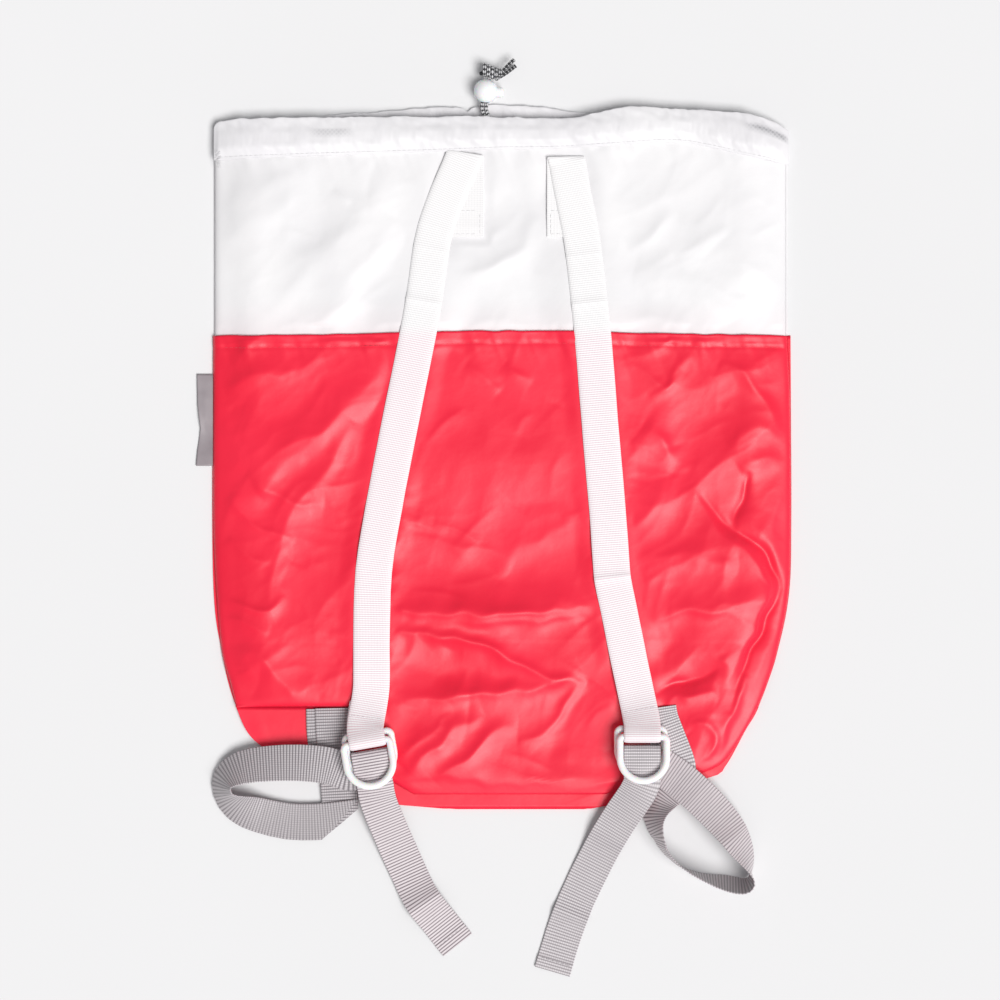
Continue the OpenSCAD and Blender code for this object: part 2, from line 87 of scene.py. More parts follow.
right_strap_top = [
    (44, 154, 10.7), (44, 180, 10.7), (44, 203, 10.7), (44, 207, 10.8, 2), (44.3, 208.6, 12, 5),
    (45, 206.5, 13.2, 9), (49, 185, 13, 10), (54, 160, 12.7, 9), (57, 140, 12.5, 8),
    (63, 84, 12.2, 7), (68, 22, 12, 6), (72.8, -33, 12, 4), (75.4, -70, 12, 4), (76.6, -82, 12, 8),
    (80.6, -101, 12, 11), (87.4, -135, 12, 11), (90.6, -150, 12, 11), (92.7, -160, 12.7, 11),
    (94.6, -169, 14.9, 9),
]
right_strap_end = [
    (96, -177.4, 14.2, 5), (95.4, -174, 14.7, 9), (94.6, -169.5, 13, 10), (93.7, -165, 11.7, 11),
    (92.9, -161, 11.1, 11),
]
left_loop = [
    (-165, -242.5, 4.2, 84, 12),
    (-180, -237, 8.2, 62, 34), (-190, -228, 11.8, 12, 55), (-190, -217, 12.5, -35, 50),
    (-178, -209, 13, -76, 30), (-158, -206, 13.5, -88, 18), (-138, -205.5, 13.6, -90, 10),
    (-121, -207, 13, -92, 4), (-112, -209.4, 12.4, -94, 2), (-105, -212, 12, -95),
    (-97.4, -211.6, 12, -60), (-91.8, -208.4, 12, -25), (-89.2, -203.4, 12, 2),
]
right_loop = [
    (107.5, -168, 10.4, -180), (109, -176, 10.4, -174), (114, -189, 10.4, -162),
    (119, -202, 10.5, -162), (121, -212, 10.4, -182), (117, -220.5, 10.3, -205, -2),
    (110, -229, 10, -205, -20), (106, -238, 11, -190, -45), (105.5, -249, 12.4, -168, -66),
    (110, -263, 13, -145, -80), (121, -275.5, 13, -124, -86), (138, -284, 13, -104, -95),
    (154, -288, 12.6, -90, -110), (165.5, -290, 12.6, -70, -110), (171, -287, 13, -25, -100),
    (171, -279, 13.2, 5, -80), (167, -268, 13.8, 22, -56), (159, -254.5, 15.2, 32, -34),
    (147.5, -240.5, 16, 38, -18), (134, -227, 15.6, 41, -8), (121, -216, 13.3, 42),
    (110, -208.5, 12.1, 38), (101, -203, 12, 18),
]
ring_wrap = [
    (0, 2.5, 12), (0, 5, 12.5), (0, 6.3, 14.2), (0, 6.6, 16.5), (0, 5.8, 19),
    (0, 3.4, 20.5, 0, 0, 0.3), (0, -1, 20.9, 0, 0, 0.7), (0, -5.4, 21.2, 0, 0, 1),
    (0, -8, 21.2, 0, 0, 1.6), (0, -10.5, 20.8, 0, 0, 2.2), (0, -13, 20, 0, 0, 2.1),
    (0, -15.5, 18.9, 0, 0, 1.8),
]
ring_loop = [
    (0, 22, 19.6), (0, 18, 22.2), (0, 15, 23.7), (0, 12.6, 24.2), (0, 10.6, 23.6), (0, 9.3, 22.2),
    (0, 9, 20.5), (0, 9.5, 18.6), (0, 11, 16), (0, 13, 13.6), (0, 15.4, 12.1), (0, 18, 11.8),
    (0, 20.6, 12.5),
]
left_tail = [
    (0, -19, 17.1, 0, 0, 1.4), (0, -29, 13, 4, 0, 0.6), (3, -45.5, 8, 12, 0, 0.2),
    (7, -63.5, 3.5, 14), (11.5, -81.5, 1.6, 15), (16.5, -99, 0.8, 20), (25.5, -117, 0.8, 28),
    (36, -136.5, 0.8, 31),
]
right_tail = [
    (0, -19, 17.1, -6, 0, 1.4), (-3.6, -27, 14.3, -20, 0, 0.8), (-11.5, -39, 9.5, -27, 0, 0.3),
    (-21.5, -55, 4.5, -28), (-31.5, -74, 1.6, -27), (-44.5, -101, 0.8, -24),
    (-53.5, -125, 0.8, -19), (-61, -150, 0.8, -16),
]
# The left adjuster strap is folded over below its sewn end, and goes on from the fold
left_tab = [
    (-115, -168.8, 4.4, 180), (-114.5, -185, 4.6, 180), (-113, -203, 3.8, 180),
    (-111.5, -219, 3, 180), (-110.6, -236, 2, 180), (-110, -258.5, 1.6, 180),
]
left_under_tab = [
    (-121.2, -169.4, 3.4, 180), (-120.8, -185, 3.4, 180), (-119, -200, 2.6, 180),
]
left_turn = [
    (-96.5, -243.5, 3.8, 90), (-112, -245.6, 3.8, 90), (-128, -247, 3.6, 90),
    (-146, -246.6, 3.4, 90, 4),
]
left_neck = [(-10.4, 231.6, 4.4), (-10.8, 234.2, 5.6), (-11.8, 238, 6.7), (-12.7, 240.8, 7.6)]
right_neck = [(-7.6, 231.6, 4.4), (-7.8, 234.2, 5.6), (-8.9, 238, 6.7), (-9.9, 240.8, 7.6)]
knot_at = np.array([-6.5, 267, 8])
cut_ends = [
    [(-1, 265.4, 8), (2, 268.5, 8.4), (5.5, 272.4, 8.4), (8.9, 275.6, 7.6)],
    [(-1, 264, 6), (3, 266.5, 4.6), (6.8, 269.4, 3.6), (10, 272, 3)],
]


# ---- general helpers
def curve(a, b, c, d, t):
    """Catmull-Rom value between b and c."""
    return 0.5 * (2 * b + (c - a) * t + (2 * a - 5 * b + 4 * c - d) * t * t
                  + (3 * b - a - 3 * c + d) * t ** 3)


def smooth(points, n):
    """Smooth line through the points, with n steps between each two."""
    p = np.array(points, float)
    q = np.vstack([p[:1], p, p[-1:]])
    out = [curve(*q[i:i + 4], t) for i in range(len(p) - 1) for t in np.arange(n) / n]
    return np.array(out + [p[-1]])


def along(line):
    """Length from a line's start to each of its points."""
    return np.concatenate([[0], np.cumsum(np.linalg.norm(np.diff(line[:, :3], axis=0), axis=1))])


def read_off(at, s, values):
    """Rows of values that are known at lengths s, at other lengths."""
    return np.stack([np.interp(at, s, values[:, k]) for k in range(values.shape[1])], 1)


def resample(line, step):
    s = along(line)
    at = np.linspace(0, s[-1], max(2, int(round(s[-1] / step)) + 1))
    return read_off(at, s, line), at


def unit(v):
    return v / np.maximum(np.linalg.norm(v, axis=-1, keepdims=True), 1e-9)


def ease(t):
    """0 to 1, level at both ends."""
    t = np.clip(t, 0, 1)
    return t * t * (3 - 2 * t)


def facing(degrees):
    a = math.radians(degrees)
    return np.array([math.cos(a), math.sin(a), 0])


def stops(route):
    """The route's stops with all six numbers."""
    return [(*q, *(0,) * (6 - len(q))) for q in route]


def placed(route, pair):
    """A route drawn about the middle of a ring pair, put where the pair lies."""
    x, y, turn = pair
    c, s = facing(turn)[:2]
    return [(x + q[0] * c - q[1] * s, y + q[0] * s + q[1] * c, q[2], q[3] + turn, *q[4:])
            for q in stops(route)]


def wander(s, scale, seed):
    """Smooth random line from -1 to 1 over positions s, with bumps about scale apart."""
    r = np.random.default_rng(seed)
    knots = r.uniform(-1, 1, int(s.max() / scale - s.min() / scale) + 6)
    f = (s - s.min()) / scale + 1
    i = f.astype(int)
    return curve(knots[i - 1], knots[i], knots[i + 1], knots[i + 2], f - i)


reach_x = np.linspace(-220, 220, 1761)


def ripple(x, scale, seed):
    """Smooth random line across the bag, the same wherever it is asked for."""
    return np.interp(x, reach_x, wander(reach_x, scale, seed))


# ---- shapes and pieces
# A shape is its verts in mm, its faces, and the map that its material reads: the lengths along
# and across the cloth in metres, and a third number that some materials use.
def linked(thing):
    bpy.context.scene.collection.objects.link(thing)
    return thing


def show(name, node, shape, material, body="bag", thickness=0.0):
    """A shape as a piece that replaces a CAD node. A thickness makes a sheet solid, downwards."""
    verts, faces, coords = shape
    mesh = bpy.data.meshes.new(name)
    mesh.from_pydata((verts * MM).tolist(), [], faces)
    full = np.zeros((len(verts), 3), np.float32)
    full[:, :coords.shape[1]] = coords
    mesh.attributes.new("cloth", "FLOAT_VECTOR", "POINT").data.foreach_set("vector", full.ravel())
    mesh.polygons.foreach_set("use_smooth", [True] * len(mesh.polygons))
    mesh.materials.append(material)
    piece = linked(bpy.data.objects.new(name, mesh))
    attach(piece, body)
    if thickness:
        m = piece.modifiers.new("cloth", "SOLIDIFY")
        m.thickness = thickness * MM
        m.offset = -1
    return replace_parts(piece, node)


def grid_faces(first, cols):
    """Upward quads of a grid. first[i] is the first column present in row i."""
    faces, start = [], 0
    for i in range(len(first) - 1):
        here = start - first[i]
        start += cols - first[i]
        there = start - first[i + 1]
        for j in range(max(first[i], first[i + 1]), cols - 1):
            faces.append((there + j, there + j + 1, here + j + 1, here + j))
    return faces


def laid(x, y, z, faces):
    """Cloth whose threads run along Y and X."""
    x, y = x.ravel(), y.ravel()
    return np.c_[x, y, z.ravel()], faces, np.c_[y, x] * MM


def skin(lines, coords, inward=False):
    """Closed skin round lines of equal length that lie side by side."""
    v, c = np.stack(lines, 1), np.stack(coords, 1)
    rings, sides = v.shape[:2]
    faces = []
    for i in range(0, (rings - 1) * sides, sides):
        for k in range(sides):
            a, b = i + k, i + (k + 1) % sides
            faces.append((a, a + sides, b + sides, b) if inward else (a, b, b + sides, a + sides))
    ends = [tuple(range(sides))[::-1], tuple(range((rings - 1) * sides, rings * sides))]
    faces += [end[::-1] for end in ends] if inward else ends
    return v.reshape(-1, 3), faces, c.reshape(len(c) * sides, -1)


def tube(line, radius, sides):
    """Round tube. Its map holds the length along it and the share of a turn."""
    t = unit(np.gradient(line, axis=0))
    w = np.cross(UP, t[0])
    if np.linalg.norm(w) < 0.1:
        w = np.cross([1.0, 0, 0], t[0])
    s = along(line) * MM
    w = unit(w)
    w_all = []
    for direction in t:
        w = unit(w - direction * (w @ direction))
        w_all.append(w)
    w = np.array(w_all)
    n = np.cross(t, w)
    radius = np.broadcast_to(radius, len(line))[:, None]
    lines, coords = [], []
    for k in range(sides):
        a = 2 * math.pi * k / sides
        lines.append(line + radius * (math.cos(a) * w + math.sin(a) * n))
        coords.append(np.c_[s, np.full(len(s), k / sides)])
    return skin(lines, coords)


def joined(parts):
    """Several shapes as one."""
    verts, faces, coords, n = [], [], [], 0
    for v, f, c in parts:
        verts.append(v)
        coords.append(c)
        faces += [tuple(i + n for i in face) for face in f]
        n += len(v)
    return np.vstack(verts), faces, np.vstack(coords)


# ---- materials
def dimmed(colour, share):
    return tuple(share * c for c in colour)


class Nodes:
    """Short way to build a node tree around one Principled shader."""

    def __init__(self, name):
        self.material = bpy.data.materials.new(name)
        self.material.use_nodes = True
        self.tree = self.material.node_tree
        self.shader = self.tree.nodes["Principled BSDF"]

    def put(self, value, socket):
        """Links the socket to value if that is another socket, or else sets it to value."""
        if isinstance(value, bpy.types.NodeSocket):
            self.tree.links.new(value, socket)
        else:
            socket.default_value = (*value, 1) if isinstance(value, tuple) else value

    def node(self, kind, inputs=None, **settings):
        n = self.tree.nodes.new(kind)
        for key, value in settings.items():
            setattr(n, key, value)
        for key, value in (inputs or {}).items():
            self.put(value, n.inputs[key])
        return n

    def math(self, operation, *values):
        return self.node("ShaderNodeMath", dict(enumerate(values)), operation=operation).outputs[0]

    def scaled(self, value, by, plus):
        return self.math("ADD", self.math("MULTIPLY", value, by), plus)

    def map(self):
        """The three numbers of the piece's map."""
        a = self.node("ShaderNodeAttribute", attribute_name="cloth")
        return tuple(self.node("ShaderNodeSeparateXYZ", {0: a.outputs["Vector"]}).outputs)

    def cloth(self):
        """Lengths along and across the cloth in millimetres, and the map's third number."""
        s, v, third = self.map()
        return self.math("MULTIPLY", s, 1000.0), self.math("MULTIPLY", v, 1000.0), third

    def noise(self, scale, detail=3.0, roughness=0.5):
        return self.node("ShaderNodeTexNoise", {
            "Vector": self.node("ShaderNodeTexCoord").outputs["Object"], "Scale": scale,
            "Detail": detail, "Roughness": roughness}).outputs["Fac"]

    def ramp(self, value, low, high, at=(0.3, 0.7)):
        n = self.node("ShaderNodeValToRGB", {"Fac": value})
        for stop, position, colour in zip(n.color_ramp.elements, at, (low, high)):
            stop.position = position
            stop.color = (*colour, 1)
        return n.outputs["Color"]

    def wave(self, value, pitch, phase=0.0):
        """0 to 1 wave of a length in millimetres."""
        turn = self.scaled(value, 2 * math.pi / pitch, phase)
        return self.math("MULTIPLY_ADD", self.math("SINE", turn), 0.5, 0.5)

    def mix(self, fac, a, b):
        return self.node("ShaderNodeMix", {0: fac, 6: a, 7: b}, data_type="RGBA").outputs[2]

    def set(self, **values):
        """Inputs of the shader itself."""
        for key, value in values.items():
            self.put(value, self.shader.inputs[key.replace("_", " ")])

    def bump(self, height, distance, strength, after=None):
        """Bump of a depth in millimetres. It adds to an earlier one, given as after."""
        inputs = {"Height": height, "Distance": distance * MM, "Strength": strength}
        if after is not None:
            inputs["Normal"] = after
        normal = self.node("ShaderNodeBump", inputs).outputs[0]
        self.set(Normal=normal)
        return normal


def nylon(name, deep, light, rough, sheen=0.15, cord=False, painted_red_bounce=False):
    """Thin coated plain-weave nylon with a soft gloss and fine creasing. The cord may show
    through it, and its lower part may take a painted pink reflection of light bounced off the red cloth."""
    n = Nodes(name)
    along_y, along_x, shows = n.cloth()
    colour = n.ramp(n.noise(14.0, 4.0), deep, light)
    if painted_red_bounce:
        # painted reflection: pink on the white cloth's lower part, near the red, for light bounced off
        # the red cloth
        near = n.node("ShaderNodeMapRange", {"Value": along_y, "From Min": 78.0, "From Max": 112.0,
                                             "To Min": 0.10, "To Max": 0.0}, clamp=True).outputs[0]
        colour = n.mix(near, colour, (0.95, 0.36, 0.45))
    if cord:
        one = n.wave(n.math("ADD", along_y, along_x), 3.0)
        two = n.wave(n.math("SUBTRACT", along_y, along_x), 3.0)
        dark = n.math("GREATER_THAN", n.math("MULTIPLY", one, two), 0.22)
        hidden = n.math("MULTIPLY", n.math("MULTIPLY_ADD", dark, 0.22, 0.5), shows)
        colour = n.mix(hidden, colour, (0.20, 0.20, 0.22))
    thread = 0.62
    weave = n.math("MULTIPLY", n.wave(along_y, thread), n.wave(along_x, thread, 1.3))
    colour = n.mix(n.math("MULTIPLY", weave, 0.05), colour, dimmed(deep, 0.8))
    n.set(Base_Color=colour, Roughness=n.scaled(n.noise(60.0), 0.14, rough - 0.07),
          Sheen_Weight=sheen, Sheen_Roughness=0.5)
    crinkle = n.bump(n.noise(95.0, 5.0, 0.6), 0.35, 0.45)
    n.bump(weave, 0.03, 0.5, crinkle)
    return n.material


def webbing_material(name, deep, light, pitch, rough, other_deep, other_light, checked=False):
    """Ribbed tape: the mesh has the ribs, this paints shade into their grooves and a highlight on their
    tops, and adds the threads in them. The third number of the map says where the other pair of colours
    takes over, and those may lie in checks."""
    n = Nodes(name)
    s, v, other = n.cloth()
    across = n.wave(v, 1.05)
    rib = n.wave(s, pitch)
    twist = n.wave(n.math("ADD", n.math("MULTIPLY", s, 1.6), v), 0.9)
    pattern = n.math("MULTIPLY", rib, n.scaled(n.wave(v, 1.5), 0.6, 0.4)) if checked else rib
    # painted shade in the grooves between the ribs and painted highlight on their tops
    colour = n.mix(other, n.ramp(rib, deep, light, (0.0, 0.6)),
                   n.ramp(pattern, other_deep, other_light, (0.0, 0.6)))
    colour = n.mix(n.math("MULTIPLY", n.noise(180.0), 0.12), colour, dimmed(deep, 0.75))
    colour = n.mix(n.math("MULTIPLY", across, 0.12), colour, dimmed(deep, 0.7))
    n.set(Base_Color=colour, Roughness=n.scaled(across, 0.15, rough), Sheen_Weight=0.25,
          Sheen_Roughness=0.4)
    n.bump(twist, 0.05, 0.5, n.bump(across, 0.10, 0.6))
    return n.material


def plastic(name, colour):
    n = Nodes(name)
    n.set(Base_Color=n.ramp(n.noise(40.0, 2.0), dimmed(colour, 0.97), colour),
          Roughness=n.scaled(n.noise(300.0, 2.0), 0.10, 0.17), Specular_IOR_Level=0.5,
          Subsurface_Weight=0.3, Subsurface_Scale=0.006)
    n.bump(n.noise(500.0, 2.0), 0.02, 0.3)
    return n.material


def thread_material(name, colour):
    n = Nodes(name)
    s, v, _ = n.cloth()
    ply = n.wave(n.math("ADD", s, n.math("MULTIPLY", v, 0.002)), 0.45)
    n.set(Base_Color=n.ramp(ply, dimmed(colour, 0.72), colour, (0.0, 0.8)),
          Roughness=n.scaled(ply, 0.2, 0.45), Sheen_Weight=0.3)
    n.bump(ply, 0.05, 0.6)
    return n.material


def braid_material(name, threshold):
    """Black round braid with white flecks where its pale strands cross over."""
    n = Nodes(name)
    length, turn, _ = n.map()
    turns = n.math("MULTIPLY", turn, 2 * math.pi * 3)
    lengthwise = n.math("MULTIPLY", length, 2 * math.pi / 0.0052)
    one = n.math("SINE", n.math("ADD", lengthwise, turns))
    two = n.math("SINE", n.math("SUBTRACT", lengthwise, turns))
    cross = n.math("MULTIPLY", one, two)
    shade = n.noise(900.0, 2.0)
    dark = n.ramp(shade, (0.010, 0.010, 0.013), (0.035, 0.035, 0.042))
    pale = n.ramp(shade, (0.62, 0.62, 0.64), (0.86, 0.86, 0.88))
    n.set(Base_Color=n.mix(n.math("GREATER_THAN", cross, threshold), dark, pale),
          Roughness=n.scaled(shade, 0.2, 0.5), Sheen_Weight=0.1)
    n.bump(n.math("ABSOLUTE", cross), 0.25, 0.8)
    return n.material


def steel_material(name):
    n = Nodes(name)
    n.set(Base_Color=n.ramp(n.noise(400.0, 2.0), (0.48, 0.48, 0.50), (0.62, 0.62, 0.64)),
          Roughness=n.scaled(n.noise(700.0, 2.0), 0.15, 0.22), Metallic=1.0)
    n.bump(n.noise(1200.0, 2.0), 0.02, 0.3)
    return n.material


def satin_material(name):
    n = Nodes(name)
    threads = n.wave(n.cloth()[1], 0.5)
    n.set(Base_Color=n.ramp(n.noise(60.0), (0.265, 0.23, 0.25), (0.345, 0.31, 0.33)),
          Roughness=n.scaled(threads, 0.12, 0.32), Anisotropic=0.4, Sheen_Weight=0.2)
    n.bump(threads, 0.03, 0.5)
    return n.material


white_nylon = nylon("white_nylon", (0.79, 0.78, 0.80), (0.87, 0.86, 0.875), 0.48, painted_red_bounce=True)
casing_nylon = nylon("casing_nylon", (0.75, 0.735, 0.765), (0.85, 0.84, 0.86), 0.46, cord=True)
red_nylon = nylon("red_nylon", (0.86, 0.010, 0.042), (0.94, 0.016, 0.055), 0.42, 0.0)
# The white webbing's second pair of colours is a painted pink reflection of light bounced off the red
# cloth.
white_webbing = webbing_material("white_webbing", (0.84, 0.825, 0.84), (0.95, 0.94, 0.95),
                                 white_pitch, 0.42, (0.84, 0.61, 0.68), (0.95, 0.92, 0.94))
grey = (0.22, 0.18, 0.20), (0.76, 0.69, 0.72), grey_pitch, 0.36
grey_webbing = webbing_material("grey_webbing", *grey, (0.31, 0.28, 0.30), (0.72, 0.68, 0.705), True)
# The left strap's wrong-side colours are darker than the right strap's: painted shade on its loop, tab
# and under ply.
shaded_webbing = webbing_material("shaded_webbing", *grey, (0.22, 0.20, 0.215), (0.60, 0.56, 0.585),
                                  True)
white_plastic = plastic("white_plastic", (0.95, 0.94, 0.95))
braid = braid_material("braided_cord", 0.12)
braid_end = braid_material("braided_cord_end", 0.62)
steel = steel_material("spring_steel")
pale_thread = thread_material("pale_thread", (0.88, 0.87, 0.89))
red_thread = thread_material("red_thread", (0.90, 0.06, 0.10))
grey_thread = thread_material("grey_thread", (0.42, 0.39, 0.41))
satin = satin_material("label_satin")


# ---- folds in the cloth
# A crease is its line, its height, how far it reaches on its left and on its right, and how
# rounded its crest is.
red_creases = [
    ([(-81, -99), (-49, -103), (-19, -104), (11, -103), (37, -101), (71, -97)], 6.2, 11, 6),
    ([(-87, -72), (-32, -74), (11, -71), (75, -64)], -4.2, 40, 24, 0.6),
    ([(-49, -112), (-19, -109), (20, -109), (63, -102)], 1.5, 3, 4),
    ([(-79, -115), (-57, -117), (-32, -120), (-10, -127), (11, -137), (33, -146), (58, -152)], 3.9, 4, 5),
    ([(-74, -136), (-32, -142), (3, -150), (33, -157)], -2.6, 9, 12, 0.5),
    ([(-79, -168), (-49, -163), (-19, -159), (7, -158), (37, -151), (56, -144)], 4.2, 8, 6),
    ([(13, -191), (24, -190), (37, -180), (48, -163), (54, -148)], 2.4, 5, 5),
    ([(57, -146), (43, -172), (38, -193), (30, -219)], -3.8, 24, 14, 0.5),
    ([(-74, -221), (-53, -202), (-32, -184), (-10, -172)], 3.2, 6, 6),
    ([(-70, -206), (-55, -191), (-40, -180)], 2, 4, 5),
    ([(-44, -219), (-23, -202), (-2, -184), (11, -180)], 2.6, 5, 6),
    ([(-74, -218), (-49, -215), (-19, -218), (20, -221), (67, -215)], 2.2, 8, 3),
    ([(-23, 68), (-10, 57), (0, 48)], 1.3, 4, 6),
    ([(3, 69), (11, 62), (21, 54)], 1.1, 3, 5),
    ([(-70, 3), (-10, -1), (71, -5)], 3.4, 22, 34, 0.5),
    ([(-62, -47), (-40, -56), (-14, -58), (7, -71)], 1.8, 6, 10),
    ([(-2, -77), (11, -60), (37, -47), (54, -39)], 1.6, 8, 8),
    ([(-169, -17), (-143, 6), (-117, 30), (-96, 49), (-72, 75)], 3.8, 18, 12, 0.15),
    ([(-139, -26), (-124, -11), (-111, 8), (-100, 30)], 2.2, 8, 6),
    ([(-177, -9), (-160, -18), (-139, -30), (-121, -30)], 2.2, 6, 5),
    ([(-186, -22), (-173, -39), (-156, -47), (-139, -54)], 1.5, 3, 4),
    ([(-188, -52), (-177, -62), (-160, -71)], 1.4, 3, 4),
    ([(-194, -88), (-177, -99), (-160, -101), (-147, -90)], 2.4, 4, 5),
    ([(-192, -107), (-177, -111), (-160, -116)], 1.6, 3, 3),
    ([(-186, -127), (-169, -133), (-151, -150), (-139, -163)], 2.6, 6, 8),
    ([(-190, 47), (-173, 57), (-151, 60), (-139, 68)], 1.6, 5, 6),
    ([(97, 25), (112, 12), (116, -9)], 2.6, 6, 8),
    ([(84, 68), (97, 62), (114, 53), (122, 64), (135, 72)], 1.7, 5, 7),
    ([(88, -47), (105, -30), (116, -7)], 2.2, 8, 6),
    ([(135, -22), (152, -43), (170, -54), (184, -67), (189, -86), (185, -107), (170, -131),
      (160, -152), (156, -172)], -3.6, 3, 3.5),
    ([(129, -18), (145, -45), (165, -60), (179, -75), (182, -90), (176, -112), (161, -133),
      (152, -154)], 3.4, 3.5, 15),
    ([(165, -35), (182, -54), (195, -77), (195, -103), (182, -133), (170, -163)], 2.2, 8, 5),
    ([(106, -159), (122, -150), (140, -146), (152, -137)], -4.2, 5, 5),
    ([(112, -169), (131, -160), (148, -160)], 3.2, 3.5, 10),
    ([(97, -109), (114, -104), (140, -101), (165, -97), (182, -86)], 3.8, 14, 6),
    ([(93, -69), (114, -62), (140, -67), (161, -71)], 2.7, 8, 12),
    ([(157, 12), (170, 21), (182, 23), (195, 12)], 2.2, 8, 6),
    ([(148, 68), (165, 60), (182, 38), (195, 17)], 2, 4, 6),
    ([(161, -5), (178, 2), (197, 2)], 2.2, 6, 9),
    ([(169, -7), (164, -26), (160, -47)], -3, 3.5, 3.5),
    ([(127, -180), (146, -184), (142, -206)], 2.4, 4, 4),
    ([(167, -146), (158, -172), (150, -202)], 2.6, 4, 5),
]
white_creases = [
    ([(-162, 100), (-130, 132), (-100, 162), (-70, 200)], 3.4, 12, 20, 0.2),
    ([(-130, 92), (-108, 118), (-90, 142), (-72, 166)], 2.6, 12, 12, 0.2),
    ([(-196, 150), (-165, 168), (-125, 186)], 2.2, 14, 12, 0.3),
    ([(-192, 172), (-160, 190), (-128, 205)], 1.4, 8, 10, 0.2),
    ([(-116, 186), (-110, 182), (-103, 176)], 0.8, 3, 4),
    ([(-145, 89), (-120, 100), (-98, 118)], 1.1, 4, 7),
    ([(-36, 124), (-10, 132), (14, 148), (30, 170)], 2.0, 7, 10, 0.1),
    ([(-32, 146), (-4, 156), (12, 176)], 1.3, 6, 8),
    ([(-28, 92), (0, 98), (30, 90)], 1.0, 5, 6),
    ([(88, 146), (104, 156), (120, 170)], 1.6, 6, 8, 0.1),
    ([(120, 140), (140, 152), (152, 164)], 1.2, 5, 6, 0.1),
    ([(92, 128), (130, 120), (158, 96)], 1.8, 12, 9, 0.2),
    ([(150, 150), (172, 132), (194, 118)], 1.5, 8, 8, 0.2),
    ([(76, 96), (110, 100), (140, 88)], 1.2, 5, 7),
]


def crease_height(x, y, points, height, left, right, crest=0.07):
    """Height over x, y of one crease: a crest along its line with a slope on each side."""
    line = smooth(points, 6)
    s = along(np.c_[line, np.zeros(len(line))])
    best = np.full(x.shape, 1e9)
    side = np.zeros(x.shape)
    where = np.zeros(x.shape)
    for i in range(len(line) - 1):
        a, b = line[i], line[i + 1]
        d = b - a
        t = np.clip(((x - a[0]) * d[0] + (y - a[1]) * d[1]) / (d @ d), 0, 1)
        dx, dy = x - a[0] - t * d[0], y - a[1] - t * d[1]
        dist = np.hypot(dx, dy)
        near = dist < best
        best = np.where(near, dist, best)
        side = np.where(near, d[0] * dy - d[1] * dx, side)
        where = np.where(near, (s[i] + t * (s[i + 1] - s[i])) / s[-1], where)
    reach = np.where(side > 0, left, right)
    soft = np.sqrt((best / reach) ** 2 + crest) - math.sqrt(crest)
    taper = np.clip(np.sin(math.pi * np.clip(where, 0, 1)), 0, 1) ** 0.7
    return height * taper * np.exp(-soft)


def crumple(x, y, count, box, size, seed):
    """Small random creases, mostly slanting, as thin coated cloth takes."""
    r = np.random.default_rng(seed)
    total = np.zeros(x.shape)
    for _ in range(count):
        at = np.array([r.uniform(box[0], box[2]), r.uniform(box[1], box[3])])
        a = math.radians(r.choice([35, 40, -30, 150, 10, 70]) + r.normal(0, 14))
        half = r.uniform(8, 26)
        bend = r.uniform(-4, 4)
        d = np.array([math.cos(a), math.sin(a)])
        points = [at - half * d, at + bend * np.array([-d[1], d[0]]), at + half * d]
        near = (abs(x - at[0]) < half + 30) & (abs(y - at[1]) < half + 30)
        if near.any():
            total[near] += crease_height(x[near], y[near], points, size * r.uniform(-0.7, 1),
                                         r.uniform(1.6, 4), r.uniform(3, 8))
    return total


def lattice(x, y, scale, seed):
    """Smooth random field from about -0.7 to 0.7 with features about scale wide."""
    turn = np.random.default_rng(seed).uniform(0, 2 * math.pi, (64, 64))
    x, y = x / scale + 30, y / scale + 30
    i, j = np.floor(x).astype(int), np.floor(y).astype(int)
    fx, fy = x - i, y - j
    corner = [[np.cos(turn[(i + a) % 64, (j + b) % 64]) * (fx - a)
               + np.sin(turn[(i + a) % 64, (j + b) % 64]) * (fy - b) for b in (0, 1)] for a in (0, 1)]
    u, v = ease(fx), ease(fy)
    low = corner[0][0] * (1 - v) + corner[0][1] * v
    high = corner[1][0] * (1 - v) + corner[1][1] * v
    return low * (1 - u) + high * u


def rumple(x, y, seed, lean):
    """Ridged folds of several sizes that mostly run the way of lean, in degrees."""
    a = math.radians(lean)
    u = x * math.cos(a) + y * math.sin(a) + 14 * lattice(x, y, 50, seed)
    v = -x * math.sin(a) + y * math.cos(a) + 14 * lattice(x, y, 43, seed + 1)
    total = 0
    for size, height, stretch in ((46, 3.0, 1.7), (22, 0.8, 1.6), (10, 0.2, 1.4)):
        total = total + height * (0.35 - abs(lattice(u / stretch, v, size, seed + size)) * 1.5)
    return total


def folds(x, y):
    """Height of the folds on the strap side of the bag, in mm."""
    h = np.zeros(x.shape)
    wx, wy = x + 5 * lattice(x, y, 19, 3), y + 5 * lattice(x, y, 17, 4)
    for crease in red_creases + white_creases:
        h += crease_height(wx, wy, *crease)
    h += crumple(x, y, 110, (-190, -215, 195, 85), 0.9, 11)
    h += crumple(x, y, 70, (-190, 80, 190, 212), 0.5, 12)
    strong = 0.35 + 0.65 * ease((abs(x - 8) - 45) / 50)
    return h + rumple(x, y, 5, 38) * np.where(y > 84, 0.32, strong)


def settled(y, z):
    """How far the webbing sinks at the upper end of the bag, where its plies lie close."""
    return 0.9 * ease((y - 84) / 40) + 0.65 * np.maximum(0, z - 10.8) * ease((y - 115) / 40)


def pressing(route, drop=0.8):
    """Places where webbing lies on the cloth: x, y and the height the cloth must stay under."""
    x, y, z, _, tilt, _ = resample(smooth(stops(route), 4), 3)[0].T
    return np.c_[x, y, z - settled(y, z) - drop - half_web * abs(np.sin(np.radians(tilt)))]


presses = np.vstack([
    pressing(left_strap_top[5:]), pressing(right_strap_top[5:]), pressing(left_strap_end, 1.2),
    pressing(right_strap_end, 1.2), pressing(left_loop[6:]), pressing(right_loop[:7]),
    pressing(right_loop[19:])])


